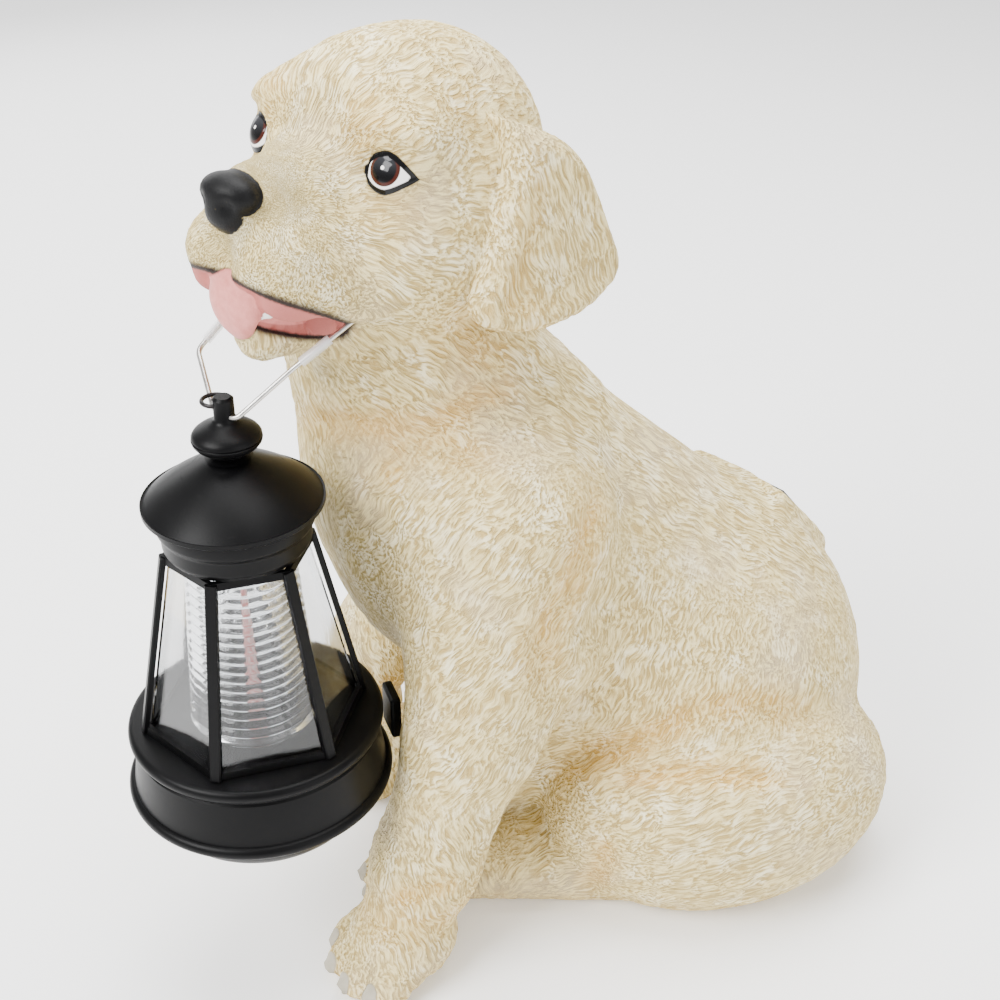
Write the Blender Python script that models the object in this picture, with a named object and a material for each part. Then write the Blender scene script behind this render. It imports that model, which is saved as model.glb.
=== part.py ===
"""Sitting puppy garden statue that holds a wire-hung lantern in its mouth.

The statue faces -Y, its left side is +X and up is +Z, in metres.
The puppy is one casting. Its pose, proportions and carving are shares of its own height:
they are written in figure units, of which the puppy's height holds FIGURE_UNITS.
The lantern, its wire bail and the solar panel have real sizes of their own.
"""

from dataclasses import dataclass
from math import cos, pi, radians, sin

import bmesh
import bpy
import numpy as np
from mathutils import Matrix, Vector

# Driving sizes of the casting
STATUE_HEIGHT = 0.290
FIGURE_UNITS = 290.0
UNIT = STATUE_HEIGHT / FIGURE_UNITS

# Clearances
TOUCH_GAP = 0.0003
WIRE_CLEARANCE = 0.0004
PANE_SETBACK = 0.0005
LEG_CLEARANCE = 0.0030

# Lantern: the drum at the bottom
DRUM_RADIUS = 0.0365
DRUM_WALL = 0.0022
DRUM_BAND_HEIGHT = 0.0200
DRUM_BOWL_DEPTH = 0.0200
DRUM_BEAD = 0.0021
BEAD_STEP = 0.0020
BOWL_STEP = 0.0010
DECK_THICKNESS = 0.0020
DECK_HOLE_RADIUS = 0.0150

# Lantern: clear housing, its bars and the ribbed lens
CAGE_HEIGHT = 0.0602
CAGE_FOOT_RADIUS = 0.0340
CAGE_HEAD_RADIUS = 0.0218
CAGE_RING_HEIGHT = 0.0022
BAR_WIDTH = 0.0034
BAR_DEPTH = 0.0017
BAR_PROUD = 0.0004
BAR_BACK_SHARE = 0.85
CAGE_TURN = radians(36.0)
PANE_THICKNESS = 0.0010
PANE_COUNT = 6
LENS_FOOT_RADIUS = 0.0192
LENS_CLEARANCE = 0.0012
LENS_WALL = 0.0016
LENS_RIB_DEPTH = 0.0011
LENS_RIB_COUNT = 13
LENS_HEADROOM = 0.0030

# Lantern: collar band, roof, finial with its stem
COLLAR_RADIUS = 0.0225
COLLAR_HEIGHT = 0.0130
COLLAR_STEP = 0.0012
COLLAR_STEP_SHARE = 0.50
COLLAR_EASE = 0.0014
ROOF_RADIUS = 0.0257
ROOF_RIM_HEIGHT = 0.0016
ROOF_RISE = 0.0129
ROOF_WALL = 0.0018
ROOF_NECK_RADIUS = 0.0058
ROOF_EDGE = 0.0006
FINIAL_RADIUS = 0.0098
FINIAL_HEIGHT = 0.0100
FINIAL_SHOULDER = 0.0018
FINIAL_SEAM = 0.0004
NECK_FLARE = 0.0008
NECK_WAIST = 0.0012
STEM_RADIUS = 0.0029
STEM_HEIGHT = 0.0065
STEM_EDGE = 0.0007
HOLE_LOW_SHARE = 0.9

# Wire bail, its sleeves and the small hanging ring
WIRE_RADIUS = 0.00075
SLEEVE_WALL = 0.0004
SLEEVE_SPAN = (0.14, 0.62)
BAIL_FOOT_HALF = 0.0046
BAIL_KINK_LEFT = (0.0110, 0.50)
BAIL_KINK_RIGHT = (0.0235, 0.34)
BAIL_BEND = 0.0022
RING_RADIUS = 0.0036
RING_WIRE_RADIUS = 0.0006
RING_BORE_RISE = 0.0030
SOCKET_DEPTH = 0.0050

# Switch housing on the drum
SWITCH_WIDTH = 0.0110
SWITCH_HEIGHT = 0.0150
SWITCH_REACH = 0.0034
SWITCH_ANGLE = radians(98.0)
SWITCH_EDGE = 0.0009

# Solar panel let into the back
PANEL_SIDE = 0.0350
PANEL_THICKNESS = 0.0030
PANEL_PROUD = 0.0006
PANEL_FRAME = 0.0030
PANEL_BOSS = 0.0060
PANEL_EDGE = 0.0004

# Places on the figure, in figure units: X to its left, Y to its back, Z up
MIDLINE = 6.0
HEAD_CENTRE = (6.0, -42.0, 247.0)
HEAD_YAW = radians(36.0)
HEAD_PITCH = radians(10.0)
FORELEG_FRONT = (40.82, -50.56)
BAIL_HOLE_HEIGHT = 201.5
MOUTH_CORNER = (20.0, -33.0, -31.5)
PANEL_PLACE = (-15.4, 87.6, 113.6)
PANEL_FACING = (-0.36, 0.65, 0.67)

# Paws: centre, heading, size and fillet to the leg
PAWS = (
    ((69.0, -62.0, 11.2), radians(18.0), 1.0, 5.0),
    ((-57.0, -61.0, 11.2), radians(-18.0), 1.0, 5.0),
    ((36.0, -48.0, 10.6), radians(2.0), 0.94, 5.0),
    ((-24.0, -48.0, 10.6), radians(-2.0), 0.94, 5.0),
)

# Left eye in the head's frame, and the leaf of an ear seen from its side as (back, up)
EYE_PLACE = np.array((25.6, -31.2, 9.2))
EYE_FACING = np.array((0.30, -0.935, 0.18)) / np.linalg.norm((0.30, -0.935, 0.18))
EYE_BALL = 8.6
EYE_PROUD = 0.9
EAR_RIM = (
    (0, 24), (20, 18), (33, 3), (43.5, -17), (32, -27),
    (5, -32), (-12, -27), (-6, -6), (-1, 12),
)
EAR_HALF = 3.3
EAR_ROLL = 1.5

# How far from their centres the paws and the head reach, and where their facets stay fine
FAR = 400.0
PAW_REACH = 34.0
HEAD_REACH = 74.0
HEAD_FINE_REACH = 48.0
PAW_FINE_REACH = 26.0

# Fineness of the casting's facets
SEED_VOXEL = 3.2
SKIN_VOXEL = 2.1
FIGURE_TRIANGLES = 5000
ROUND_SIDES = 24


# Distances

def lengths(vectors):
    """Length of each row of an array of vectors."""
    return np.sqrt((vectors * vectors).sum(axis=-1))


def turn_about(axis, angle):
    """3 x 3 turn by an angle about one of the axes, as an array."""
    return np.array(Matrix.Rotation(angle, 3, Vector(axis)))


def blend(first, second, width):
    """Union of two distances with a fillet of the given width."""
    mix = np.maximum(width - np.abs(first - second), 0.0) / width
    return np.minimum(first, second) - mix * mix * width / 4.0


def cut(first, second, width):
    """The first distance with the second taken out of it, edges eased over a width."""
    mix = np.maximum(width - np.abs(first + second), 0.0) / width
    return np.maximum(first, -second) + mix * mix * width / 4.0


@dataclass(frozen=True)
class Ball:
    """Ellipsoid form: centre, half-axes, fillet to what came before, and an optional turn."""

    centre: tuple
    radii: tuple
    soft: float
    turn: object = None
    hollow: bool = False

    def distance(self, points):
        local = points - np.array(self.centre)
        if self.turn is not None:
            local = local @ self.turn
        radii = np.array(self.radii)
        reach = lengths(local / radii)
        slope = lengths(local / (radii * radii))
        return reach * (reach - 1.0) / np.maximum(slope, 1e-9)


@dataclass(frozen=True)
class Limb:
    """Round tapering form between two points, with a radius at each end."""

    start: tuple
    end: tuple
    start_radius: float
    end_radius: float
    soft: float
    hollow: bool = False

    def distance(self, points):
        start = np.array(self.start)
        axis = np.array(self.end) - start
        rel = points - start
        share = np.clip((rel @ axis) / (axis @ axis), 0.0, 1.0)
        away = lengths(rel - share[:, None] * axis)
        return away - (self.start_radius + share * (self.end_radius - self.start_radius))


@dataclass(frozen=True)
class Slab:
    """Rounded block form: centre, half-sizes, turn and the radius of its edges."""

    centre: tuple
    half: tuple
    turn: object
    edge: float
    soft: float
    hollow: bool = False

    def distance(self, points):
        local = np.abs((points - np.array(self.centre)) @ self.turn)
        over = local - np.array(self.half) + self.edge
        outside = lengths(np.maximum(over, 0.0))
        return outside + np.minimum(over.max(axis=1), 0.0) - self.edge


@dataclass(frozen=True)
class Crease:
    """Soft groove along a smooth curve through a few points, or a ridge if depth is negative."""

    knots: tuple
    width: float
    depth: float

    def relief(self, points):
        path = smooth_curve(self.knots)
        margin = 2.6 * self.width
        inside = (points > path.min(axis=0) - margin) & (points < path.max(axis=0) + margin)
        near = inside.all(axis=-1)
        sunk = np.zeros(len(points))
        if not near.any():
            return sunk
        local = points[near]
        nearest = np.full(len(local), 1e9)
        fade = np.ones(len(local))
        spans = len(path) - 1
        for index in range(spans):
            start, end = path[index], path[index + 1]
            axis = end - start
            share = np.clip(((local - start) @ axis) / (axis @ axis), 0.0, 1.0)
            away = lengths(local - start - share[:, None] * axis)
            closer = away < nearest
            along = (index + share) / spans
            ends = np.clip(5.0 * np.minimum(along, 1.0 - along) + 0.2, 0.0, 1.0)
            nearest = np.where(closer, away, nearest)
            fade = np.where(closer, ends, fade)
        sunk[near] = self.depth * fade * np.exp(-((nearest / self.width) ** 2))
        return sunk


def smooth_curve(knots, steps=4):
    """Points on a smooth curve through knots."""
    knots = np.array(knots, float)
    before = 2.0 * knots[0] - knots[1]
    after = 2.0 * knots[-1] - knots[-2]
    padded = np.vstack([before, knots, after])
    points = []
    for index in range(len(knots) - 1):
        a, b, c, d = padded[index:index + 4]
        for step in range(steps):
            t = step / steps
            square = (2.0 * a - 5.0 * b + 4.0 * c - d) * t * t
            cube = (3.0 * b - a - 3.0 * c + d) * t ** 3
            points.append(0.5 * (2.0 * b + (c - a) * t + square + cube))
    points.append(knots[-1])
    return np.array(points)


# Forms of the puppy


def both_sides(x):
    """The place at the same distance from the midline on the right side."""
    return 2.0 * MIDLINE - x


def panel_turn():
    """Turn of the solar panel: across, up the back, and outwards as columns."""
    facing = np.array(PANEL_FACING) / np.linalg.norm(PANEL_FACING)
    across = np.cross((0.0, 0.0, 1.0), facing)
    across /= np.linalg.norm(across)
    return np.stack([across, np.cross(facing, across), facing], axis=1)


def panel_boss():
    """Flat-topped boss on the back that takes the solar panel."""
    half_side = (PANEL_SIDE / 2.0 + PANEL_FRAME) / UNIT
    half_deep = PANEL_BOSS / UNIT
    turn = panel_turn()
    centre = np.array(PANEL_PLACE) - turn[:, 2] * half_deep
    return Slab(tuple(centre), (half_side, half_side, half_deep), turn, 2.0, 6.0)


def body_forms():
    """Trunk, shoulders, legs and haunches without the paws and the head."""
    forms = [
        Ball((6, 57, 62), (60, 59, 62), 1),
        Limb((5, 40, 86), (4, -12, 140), 53, 46, 20),
        Ball((4, -26, 134), (46, 43, 54), 16),
        Ball((5, -4, 60), (40, 42, 52), 16),
        Limb((2, -32, 162), (5, -48, 218), 43, 33, 20),
    ]
    for side in (1, -1):
        def place(x, y, z):
            return (x if side > 0 else both_sides(x), y, z)
        forms += [
            Limb(place(38, -18, 148), place(58, -33, 84), 34, 20, 10),
            Limb(place(58, -33, 84), place(65, -49, 42), 19.5, 16.5, 8),
            Limb(place(65, -49, 42), place(68, -58, 17), 16.5, 15, 8),
            Limb(place(53, -5, 108), place(59, -27, 88), 14, 14, 8),
            Ball(place(45, 55, 36), (39, 61, 45), 4),
            Limb(place(45, 16, 14), place(38, -40, 14), 18, 14, 4),
        ]
    forms.append(Limb((12, 106, 18), (38, 110, 20), 15, 10, 8))
    forms.append(panel_boss())
    return forms


def paw_forms():
    """One paw about its own centre, toes towards -Y: a pad, four toes and their claws."""
    forms = [Ball((0, 4, 1), (17, 18, 13), 1)]
    for x, y in ((-13.0, -8.5), (-4.7, -14.0), (4.7, -14.0), (13.0, -8.5)):
        forms += [
            Limb((0.85 * x, y + 11, 1.5), (x, y, -5.0), 7.2, 6.8, 1.6),
            Limb((1.02 * x, y - 4.5, -3.5), (1.08 * x, y - 8.5, -6.5), 2.7, 1.7, 0.8),
        ]
    return forms


def eye_turn():
    """Turn of the left eye opening: across, up and outwards as columns."""
    across = np.cross(EYE_FACING, (0.0, 0.0, 1.0))
    across /= np.linalg.norm(across)
    return np.stack([across, np.cross(across, EYE_FACING), EYE_FACING], axis=1)


def head_forms():
    """Left half of the head in its own frame; the right half mirrors it."""
    tilted = {angle: turn_about((1, 0, 0), radians(angle)) for angle in (-18, -14, 12)}
    return [
        Ball((0, 6, 6), (36, 38, 36.5), 1),
        Ball((0, -14, 22), (24, 18, 14), 12),
        Ball((21, -22.5, 19), (14, 12, 9), 7),
        Ball((20, -12, -14), (19.5, 24, 22), 16),
        Limb((0, -16, -6), (0, -44, -9), 24, 14, 14),
        Limb((0, -20, 3), (0, -52.5, -1), 13, 9, 8),
        Ball((10, -46.5, -16.5), (12.8, 17, 12.5), 7),
        Ball((15.5, -35, -23.5), (9.5, 16, 9.5), 8),
        Limb((0, -8, -28), (0, -47, -38.5), 17, 7.8, 5),
        Ball((0, -49, -30.0), (25, 24, 5.0), 2.0, tilted[-18], hollow=True),
        Ball((13.5, -47, -24.5), (7, 12, 6.5), 3),
        Ball((0, -46, -31.5), (9.2, 13, 3.2), 1.2, tilted[-14]),
        Ball((0, -57.6, -29.0), (9.0, 3.4, 9.2), 3.5, tilted[12]),
        Limb((10.2, -53.5, -24.5), (9.8, -54.0, -30.5), 2.0, 1.2, 0.6),
        Ball(tuple(EYE_PLACE + EYE_FACING), (7.6, 6.0, 4.4), 3, eye_turn(), hollow=True),
        Ball(tuple(EYE_PLACE - EYE_FACING * (EYE_BALL - EYE_PROUD)), (EYE_BALL,) * 3, 0.5),
        Ball((0, -60.4, 0.8), (9.2, 6.4, 5.4), 1.5),
        Ball((0, -61.4, -4.2), (5.8, 4.8, 4.6), 3),
        Ball((5.0, -67.2, -1.6), (1.9, 3.2, 1.9), 1.2, hollow=True),
    ]


def across_midline(knots):
    """The same places on the right side."""
    return tuple((both_sides(x), y, z) for x, y, z in knots)


SIDE_FOLDS = (
    (((50, 8, 167), (65, 1, 156), (68, -4, 141), (72, -13, 128), (70, -9, 107)), 4.6, 3.0),
    (((45, -7, 54), (53, 8, 63), (59, 22, 73), (63, 35, 83),
      (64, 50, 87), (63, 67, 82), (60, 85, 72)), 3.8, 3.0),
    (((58, 10, 57), (65, 24, 63), (69, 39, 65), (72, 53, 64), (74, 68, 60)), 3.2, 2.4),
    (((70, 9, 43), (69, 8, 31), (61, 6, 10)), 3.0, 2.4),
    (((78, -64, 37), (81, -57, 43), (83, -49, 46), (82, -41, 45)), 2.6, 1.8),
)
FOLDS = (
    Crease(((52, -22, 176), (40, -52, 186), (16, -80, 176), (0, -80, 170)), 4.0, 2.2),
    Crease(((40, -62, 166), (42, -50, 176), (42, -40, 184), (41, -29, 191), (32, -12, 194)), 3.4, 2.2),
    *(Crease(knots, width, depth) for knots, width, depth in SIDE_FOLDS),
    *(Crease(across_midline(knots), width, depth) for knots, width, depth in SIDE_FOLDS),
)


def ear_leaf(back, up):
    """How far out from the head's middle the leaf of an ear hangs."""
    bow = 3.0 * np.sin(np.clip((back + 12.0) / 50.0, 0.0, 1.0) * pi)
    leaf = 36.8 + 0.16 * (14.0 - up) + 0.10 * (back + 12.0) + bow
    return leaf - 5.0 * np.clip((up - 8.0) / 14.0, 0.0, 1.0) ** 2


def ear_distance(points):
    """Both hanging ears: thick leaves with a rolled rim, in the head's frame."""
    mirrored = points.copy()
    mirrored[:, 0] = np.abs(mirrored[:, 0])
    result = lengths(mirrored - np.array((42.0, 12.0, -5.0))) - 40.0
    near = result < 8.0
    result[~near] += 1.0
    if near.any():
        local = mirrored[near]
        back, up = local[:, 1], local[:, 2]
        edge = rim_distance(back, up)
        half = EAR_HALF + EAR_ROLL * np.exp(-(((edge + 4.5) / 2.8) ** 2))
        across = np.abs(local[:, 0] - ear_leaf(back, up)) * 0.97
        round_over = 3.0
        outer_u = edge + round_over
        outer_w = across - half + round_over
        corner = np.hypot(np.maximum(outer_u, 0.0), np.maximum(outer_w, 0.0))
        result[near] = 0.9 * (corner - round_over + np.minimum(np.maximum(outer_u, outer_w), 0.0))
    return result


def rim_distance(back, up):
    """Signed distance in the ear's plane to its smooth closed rim."""
    rim = smooth_curve(EAR_RIM + EAR_RIM[:1])
    squared = np.full(back.shape, 1e9)
    inside = np.zeros(back.shape, bool)
    for start, end in zip(rim[:-1], rim[1:]):
        run = end - start
        from_back, from_up = back - start[0], up - start[1]
        share = np.clip((from_back * run[0] + from_up * run[1]) / (run @ run), 0.0, 1.0)
        off_back = from_back - share * run[0]
        off_up = from_up - share * run[1]
        squared = np.minimum(squared, off_back ** 2 + off_up ** 2)
        crossed = (start[1] > up) != (end[1] > up)
        reach = (up - start[1]) / np.where(run[1] == 0.0, 1e-9, run[1]) * run[0] + start[0]
        inside ^= crossed & (back < reach)
    away = np.sqrt(squared)
    return np.where(inside, -away, away)


def sum_forms(forms, points):
    """Blend a list of forms in its order."""
    result = np.full(len(points), FAR)
    for form in forms:
        join = cut if form.hollow else blend
        result = join(result, form.distance(points), form.soft)
    return result


def head_turn():
    """Turn of the head frame in the figure's frame."""
    return turn_about((0, 0, 1), HEAD_YAW) @ turn_about((1, 0, 0), -HEAD_PITCH)


class Figure:
    """The whole puppy as one distance, negative inside, in figure units."""

    def __init__(self):
        self.body = body_forms()
        self.paw = paw_forms()
        self.head = head_forms()
        self.turn = head_turn()

    def head_local(self, points):
        """Points in the head's own frame."""
        return (points - np.array(HEAD_CENTRE)) @ self.turn

    def distance(self, points):
        """Distance from each point to the puppy's skin."""
        result = sum_forms(self.body, points)
        for centre, heading, size, soft in PAWS:
            local = (points - np.array(centre)) @ turn_about((0, 0, 1), heading) / size
            near = lengths(local) < PAW_REACH
            if near.any():
                own = sum_forms(self.paw, local[near]) * size
                result[near] = blend(result[near], own, soft)
        local = self.head_local(points)
        near = lengths(local) < HEAD_REACH
        if near.any():
            close = local[near]
            half = close.copy()
            half[:, 0] = np.abs(half[:, 0])
            own = blend(result[near], sum_forms(self.head, half), 8.0)
            result[near] = blend(own, ear_distance(close), 1.5)
        for fold in FOLDS:
            result = result + fold.relief(points)
        return result

    def settle(self, points, rounds=4):
        """Points moved along the slope of the distance until they lie on the skin."""
        step = 0.4
        for _ in range(rounds):
            here = self.distance(points)
            slope = np.empty_like(points)
            for axis in range(3):
                nudge = np.zeros(3)
                nudge[axis] = step
                ahead = self.distance(points + nudge)
                behind = self.distance(points - nudge)
                slope[:, axis] = (ahead - behind) / (2.0 * step)
            steep = np.maximum((slope * slope).sum(axis=1), 0.16)
            move = np.clip(here / steep, -3.0, 3.0)
            points = points - slope * move[:, None]
        return points


# Scene helpers

def clear_scene():
    """Remove whatever the file holds."""
    for item in list(bpy.data.objects):
        bpy.data.objects.remove(item, do_unlink=True)


def material(name, colour, roughness, metallic=0.0, transmission=0.0):
    """Principled material of plain values."""
    made = bpy.data.materials.new(name)
    made.use_nodes = True
    shader = made.node_tree.nodes["Principled BSDF"]
    shader.inputs["Base Color"].default_value = (*colour, 1.0)
    shader.inputs["Roughness"].default_value = roughness
    shader.inputs["Metallic"].default_value = metallic
    shader.inputs["Transmission Weight"].default_value = transmission
    return made


def add_object(name, mesh, finish=None):
    """Link a mesh as a named object."""
    made = bpy.data.objects.new(name, mesh)
    bpy.context.scene.collection.objects.link(made)
    if finish is not None:
        mesh.materials.clear()
        mesh.materials.append(finish)
    return made


def mesh_from(bm, name, angle=None):
    """Mesh of a bmesh with its faces pointing out, shaded smooth below an angle if one is given."""
    bmesh.ops.recalc_face_normals(bm, faces=bm.faces)
    mesh = bpy.data.meshes.new(name)
    bm.to_mesh(mesh)
    bm.free()
    if angle is not None:
        mesh.shade_smooth()
        mesh.set_sharp_from_angle(angle=angle)
    return mesh


def evaluated_copy(source):
    """New mesh of an object with its modifiers applied."""
    bpy.context.view_layer.update()
    graph = bpy.context.evaluated_depsgraph_get()
    return bpy.data.meshes.new_from_object(source.evaluated_get(graph))


def turned(name, profile, finish, sides=ROUND_SIDES, centre=(0.0, 0.0)):
    """Solid of revolution about a vertical axis from a closed profile of (radius, height)."""
    bm = bmesh.new()
    on_axis = 1e-7
    rings = []
    for radius, height in profile:
        if radius < on_axis:
            rings.append([bm.verts.new((centre[0], centre[1], height))])
            continue
        ring = []
        for side in range(sides):
            angle = 2.0 * pi * side / sides
            ring.append(bm.verts.new((centre[0] + radius * cos(angle),
                                      centre[1] + radius * sin(angle), height)))
        rings.append(ring)
    for first, second in zip(rings, rings[1:] + rings[:1]):
        if len(first) == 1 and len(second) == 1:
            continue
        for side in range(sides):
            after = (side + 1) % sides
            if len(first) == 1:
                bm.faces.new((first[0], second[after], second[side]))
            elif len(second) == 1:
                bm.faces.new((first[side], first[after], second[0]))
            else:
                bm.faces.new((first[side], first[after], second[after], second[side]))
    return add_object(name, mesh_from(bm, name, radians(40)), finish)


def arc(centre, radius, start, end, steps):
    """Points of an arc in the profile's plane, angles in degrees."""
    points = []
    for step in range(steps + 1):
        angle = radians(start + (end - start) * step / steps)
        points.append((centre[0] + radius * cos(angle), centre[1] + radius * sin(angle)))
    return points


def tube(name, points, radius, finish, sides=8, closed=False):
    """Round wire along points, with flat ends unless it is closed."""
    bm = bmesh.new()
    points = [Vector(point) for point in points]
    count = len(points)
    rings = []
    normal = None
    for index, point in enumerate(points):
        if closed:
            ahead = points[(index + 1) % count] - points[index - 1]
        else:
            ahead = points[min(index + 1, count - 1)] - points[max(index - 1, 0)]
        ahead.normalize()
        if normal is None:
            normal = ahead.orthogonal()
        normal = (normal - ahead * normal.dot(ahead)).normalized()
        side_axis = ahead.cross(normal)
        ring = []
        for side in range(sides):
            angle = 2.0 * pi * side / sides
            ring.append(bm.verts.new(point + radius * (cos(angle) * normal + sin(angle) * side_axis)))
        rings.append(ring)
    pairs = list(zip(rings, rings[1:]))
    if closed:
        pairs.append((rings[-1], rings[0]))
    for first, second in pairs:
        for side in range(sides):
            after = (side + 1) % sides
            bm.faces.new((first[side], first[after], second[after], second[side]))
    if not closed:
        bm.faces.new(rings[0])
        bm.faces.new(rings[-1])
    return add_object(name, mesh_from(bm, name, radians(50)), finish)


def rounded_path(corners, radius, steps=4):
    """Straight runs between corners with each inner corner turned by a short curve."""
    corners = [Vector(corner) for corner in corners]
    points = [corners[0]]
    for before, here, after in zip(corners, corners[1:], corners[2:]):
        back = (before - here).normalized() * radius
        ahead = (after - here).normalized() * radius
        for step in range(steps + 1):
            t = step / steps
            points.append(here + back * (1.0 - t) ** 2 + ahead * t ** 2)
    points.append(corners[-1])
    return points


def subtract(target, cutter):
    """Take a cutter out of an object."""
    cutter.hide_render = True
    cutter.display_type = "WIRE"
    boolean = target.modifiers.new("Cut", "BOOLEAN")
    boolean.operation = "DIFFERENCE"
    boolean.solver = "EXACT"
    boolean.object = cutter


# The casting

def seed_ball(bm, form, place, mirrored):
    """Ellipsoid body where a form stands."""
    turn = np.eye(3) if form.turn is None else form.turn
    shape = Matrix(turn.tolist()).to_4x4() @ Matrix.Diagonal((*form.radii, 1.0))
    local = Matrix.Translation(form.centre) @ shape
    if mirrored:
        local = Matrix.Diagonal((-1.0, 1.0, 1.0, 1.0)) @ local
    bmesh.ops.create_icosphere(bm, subdivisions=3, radius=1.0, matrix=place @ local)


def seed_limb(bm, form, place, mirrored):
    """Round tapering body: the hull of a ball at each end."""
    own = bmesh.new()
    for centre, radius in ((form.start, form.start_radius), (form.end, form.end_radius)):
        local = Matrix.Translation(centre) @ Matrix.Scale(radius, 4)
        if mirrored:
            local = Matrix.Diagonal((-1.0, 1.0, 1.0, 1.0)) @ local
        bmesh.ops.create_icosphere(own, subdivisions=2, radius=1.0, matrix=place @ local)
    hull = bmesh.ops.convex_hull(own, input=own.verts)
    spare = [item for item in hull["geom_interior"] if isinstance(item, bmesh.types.BMVert)]
    bmesh.ops.delete(own, geom=spare, context="VERTS")
    mesh = bpy.data.meshes.new("limb seed")
    bmesh.ops.recalc_face_normals(own, faces=own.faces)
    own.to_mesh(mesh)
    own.free()
    bm.from_mesh(mesh)
    bpy.data.meshes.remove(mesh)


def seed_ear(bm, place, mirrored):
    """Leaf of an ear as a thin prism inside the ear's own form."""
    side = -1.0 if mirrored else 1.0
    rim = smooth_curve(EAR_RIM + EAR_RIM[:1])[:-1] * 0.93
    rings = []
    for across in (-2.4, 2.4):
        ring = []
        for back, up in rim:
            out = side * (float(ear_leaf(back, up)) + across)
            ring.append(bm.verts.new(place @ Vector((out, back, up))))
        rings.append(ring)
    bm.faces.new(rings[0][::-1])
    bm.faces.new(rings[1])
    for index in range(len(rim)):
        after = (index + 1) % len(rim)
        bm.faces.new((rings[0][index], rings[0][after], rings[1][after], rings[1][index]))


def seed_slab(bm, form, place):
    """Block body where a slab stands."""
    turn = Matrix(form.turn.tolist()).to_4x4()
    shape = turn @ Matrix.Diagonal((*(2.0 * size for size in form.half), 1.0))
    bmesh.ops.create_cube(bm, size=1.0, matrix=place @ Matrix.Translation(form.centre) @ shape)


def seed_forms(bm, forms, place, halves=(False,)):
    """Bodies for every form that adds material."""
    for form in forms:
        if form.hollow:
            continue
        for mirrored in halves:
            if isinstance(form, Ball):
                seed_ball(bm, form, place, mirrored)
            elif isinstance(form, Slab):
                seed_slab(bm, form, place)
            else:
                seed_limb(bm, form, place, mirrored)


def remeshed(mesh, voxel, name):
    """Closed even skin over a mesh."""
    holder = add_object(name, mesh)
    skin = holder.modifiers.new("Skin", "REMESH")
    skin.mode = "VOXEL"
    skin.voxel_size = voxel
    skin.adaptivity = 0.0
    result = evaluated_copy(holder)
    bpy.data.objects.remove(holder, do_unlink=True)
    return result


def points_of(mesh):
    """Vertex places of a mesh as an array."""
    flat = np.empty(len(mesh.vertices) * 3)
    mesh.vertices.foreach_get("co", flat)
    return flat.reshape(-1, 3)


def settle_mesh(mesh, figure, rounds):
    """Bring a mesh's vertices onto the figure's skin."""
    settled = figure.settle(points_of(mesh), rounds)
    mesh.vertices.foreach_set("co", settled.ravel())
    mesh.update()


def head_matrix(figure):
    """The head frame as a 4 x 4 matrix."""
    turn = Matrix(figure.turn.tolist()).to_4x4()
    return Matrix.Translation(HEAD_CENTRE) @ turn


def figure_skin(figure):
    """Closed mesh of the puppy in figure units."""
    bm = bmesh.new()
    seed_forms(bm, figure.body, Matrix.Identity(4))
    for centre, heading, size, _ in PAWS:
        place = Matrix.Translation(centre) @ Matrix.Rotation(heading, 4, "Z") @ Matrix.Scale(size, 4)
        seed_forms(bm, figure.paw, place)
    head = head_matrix(figure)
    seed_forms(bm, figure.head, head, (False, True))
    for mirrored in (False, True):
        seed_ear(bm, head, mirrored)
    seeds = mesh_from(bm, "seeds")
    skin = remeshed(seeds, SEED_VOXEL, "first skin")
    settle_mesh(skin, figure, 4)
    skin = remeshed(skin, SKIN_VOXEL, "second skin")
    settle_mesh(skin, figure, 3)
    return skin


def trim_below_ground(dog):
    """Flat underside: everything below the ground plane is taken away."""
    side = 4.0 * STATUE_HEIGHT
    turn = Matrix.Identity(3)
    ground = block("ground", Vector((0.0, 0.0, -side / 2.0)), turn, (side, side, side), 0.0, None)
    subtract(dog, ground)


def build_dog(figure, finish):
    """The puppy as one closed casting, at its real size."""
    skin = figure_skin(figure)
    skin.transform(Matrix.Scale(UNIT, 4))
    dog = add_object("dog", skin, finish)
    plain = dog.vertex_groups.new(name="plain")
    points = points_of(skin) / UNIT
    away = lengths(points - np.array(HEAD_CENTRE)) - HEAD_FINE_REACH
    for centre, _, size, _ in PAWS:
        away = np.minimum(away, lengths(points - np.array(centre)) - PAW_FINE_REACH * size)
    for index, distance in enumerate(away):
        plain.add([index], float(np.clip(0.35 + distance / 40.0, 0.35, 1.0)), "REPLACE")
    thin = dog.modifiers.new("Thin", "DECIMATE")
    thin.decimate_type = "COLLAPSE"
    thin.vertex_group = "plain"
    thin.vertex_group_factor = 0.35
    triangles = sum(len(face.vertices) - 2 for face in skin.polygons)
    thin.ratio = FIGURE_TRIANGLES / triangles
    thin.use_collapse_triangulate = True
    trim_below_ground(dog)
    return dog


# The lantern

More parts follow.
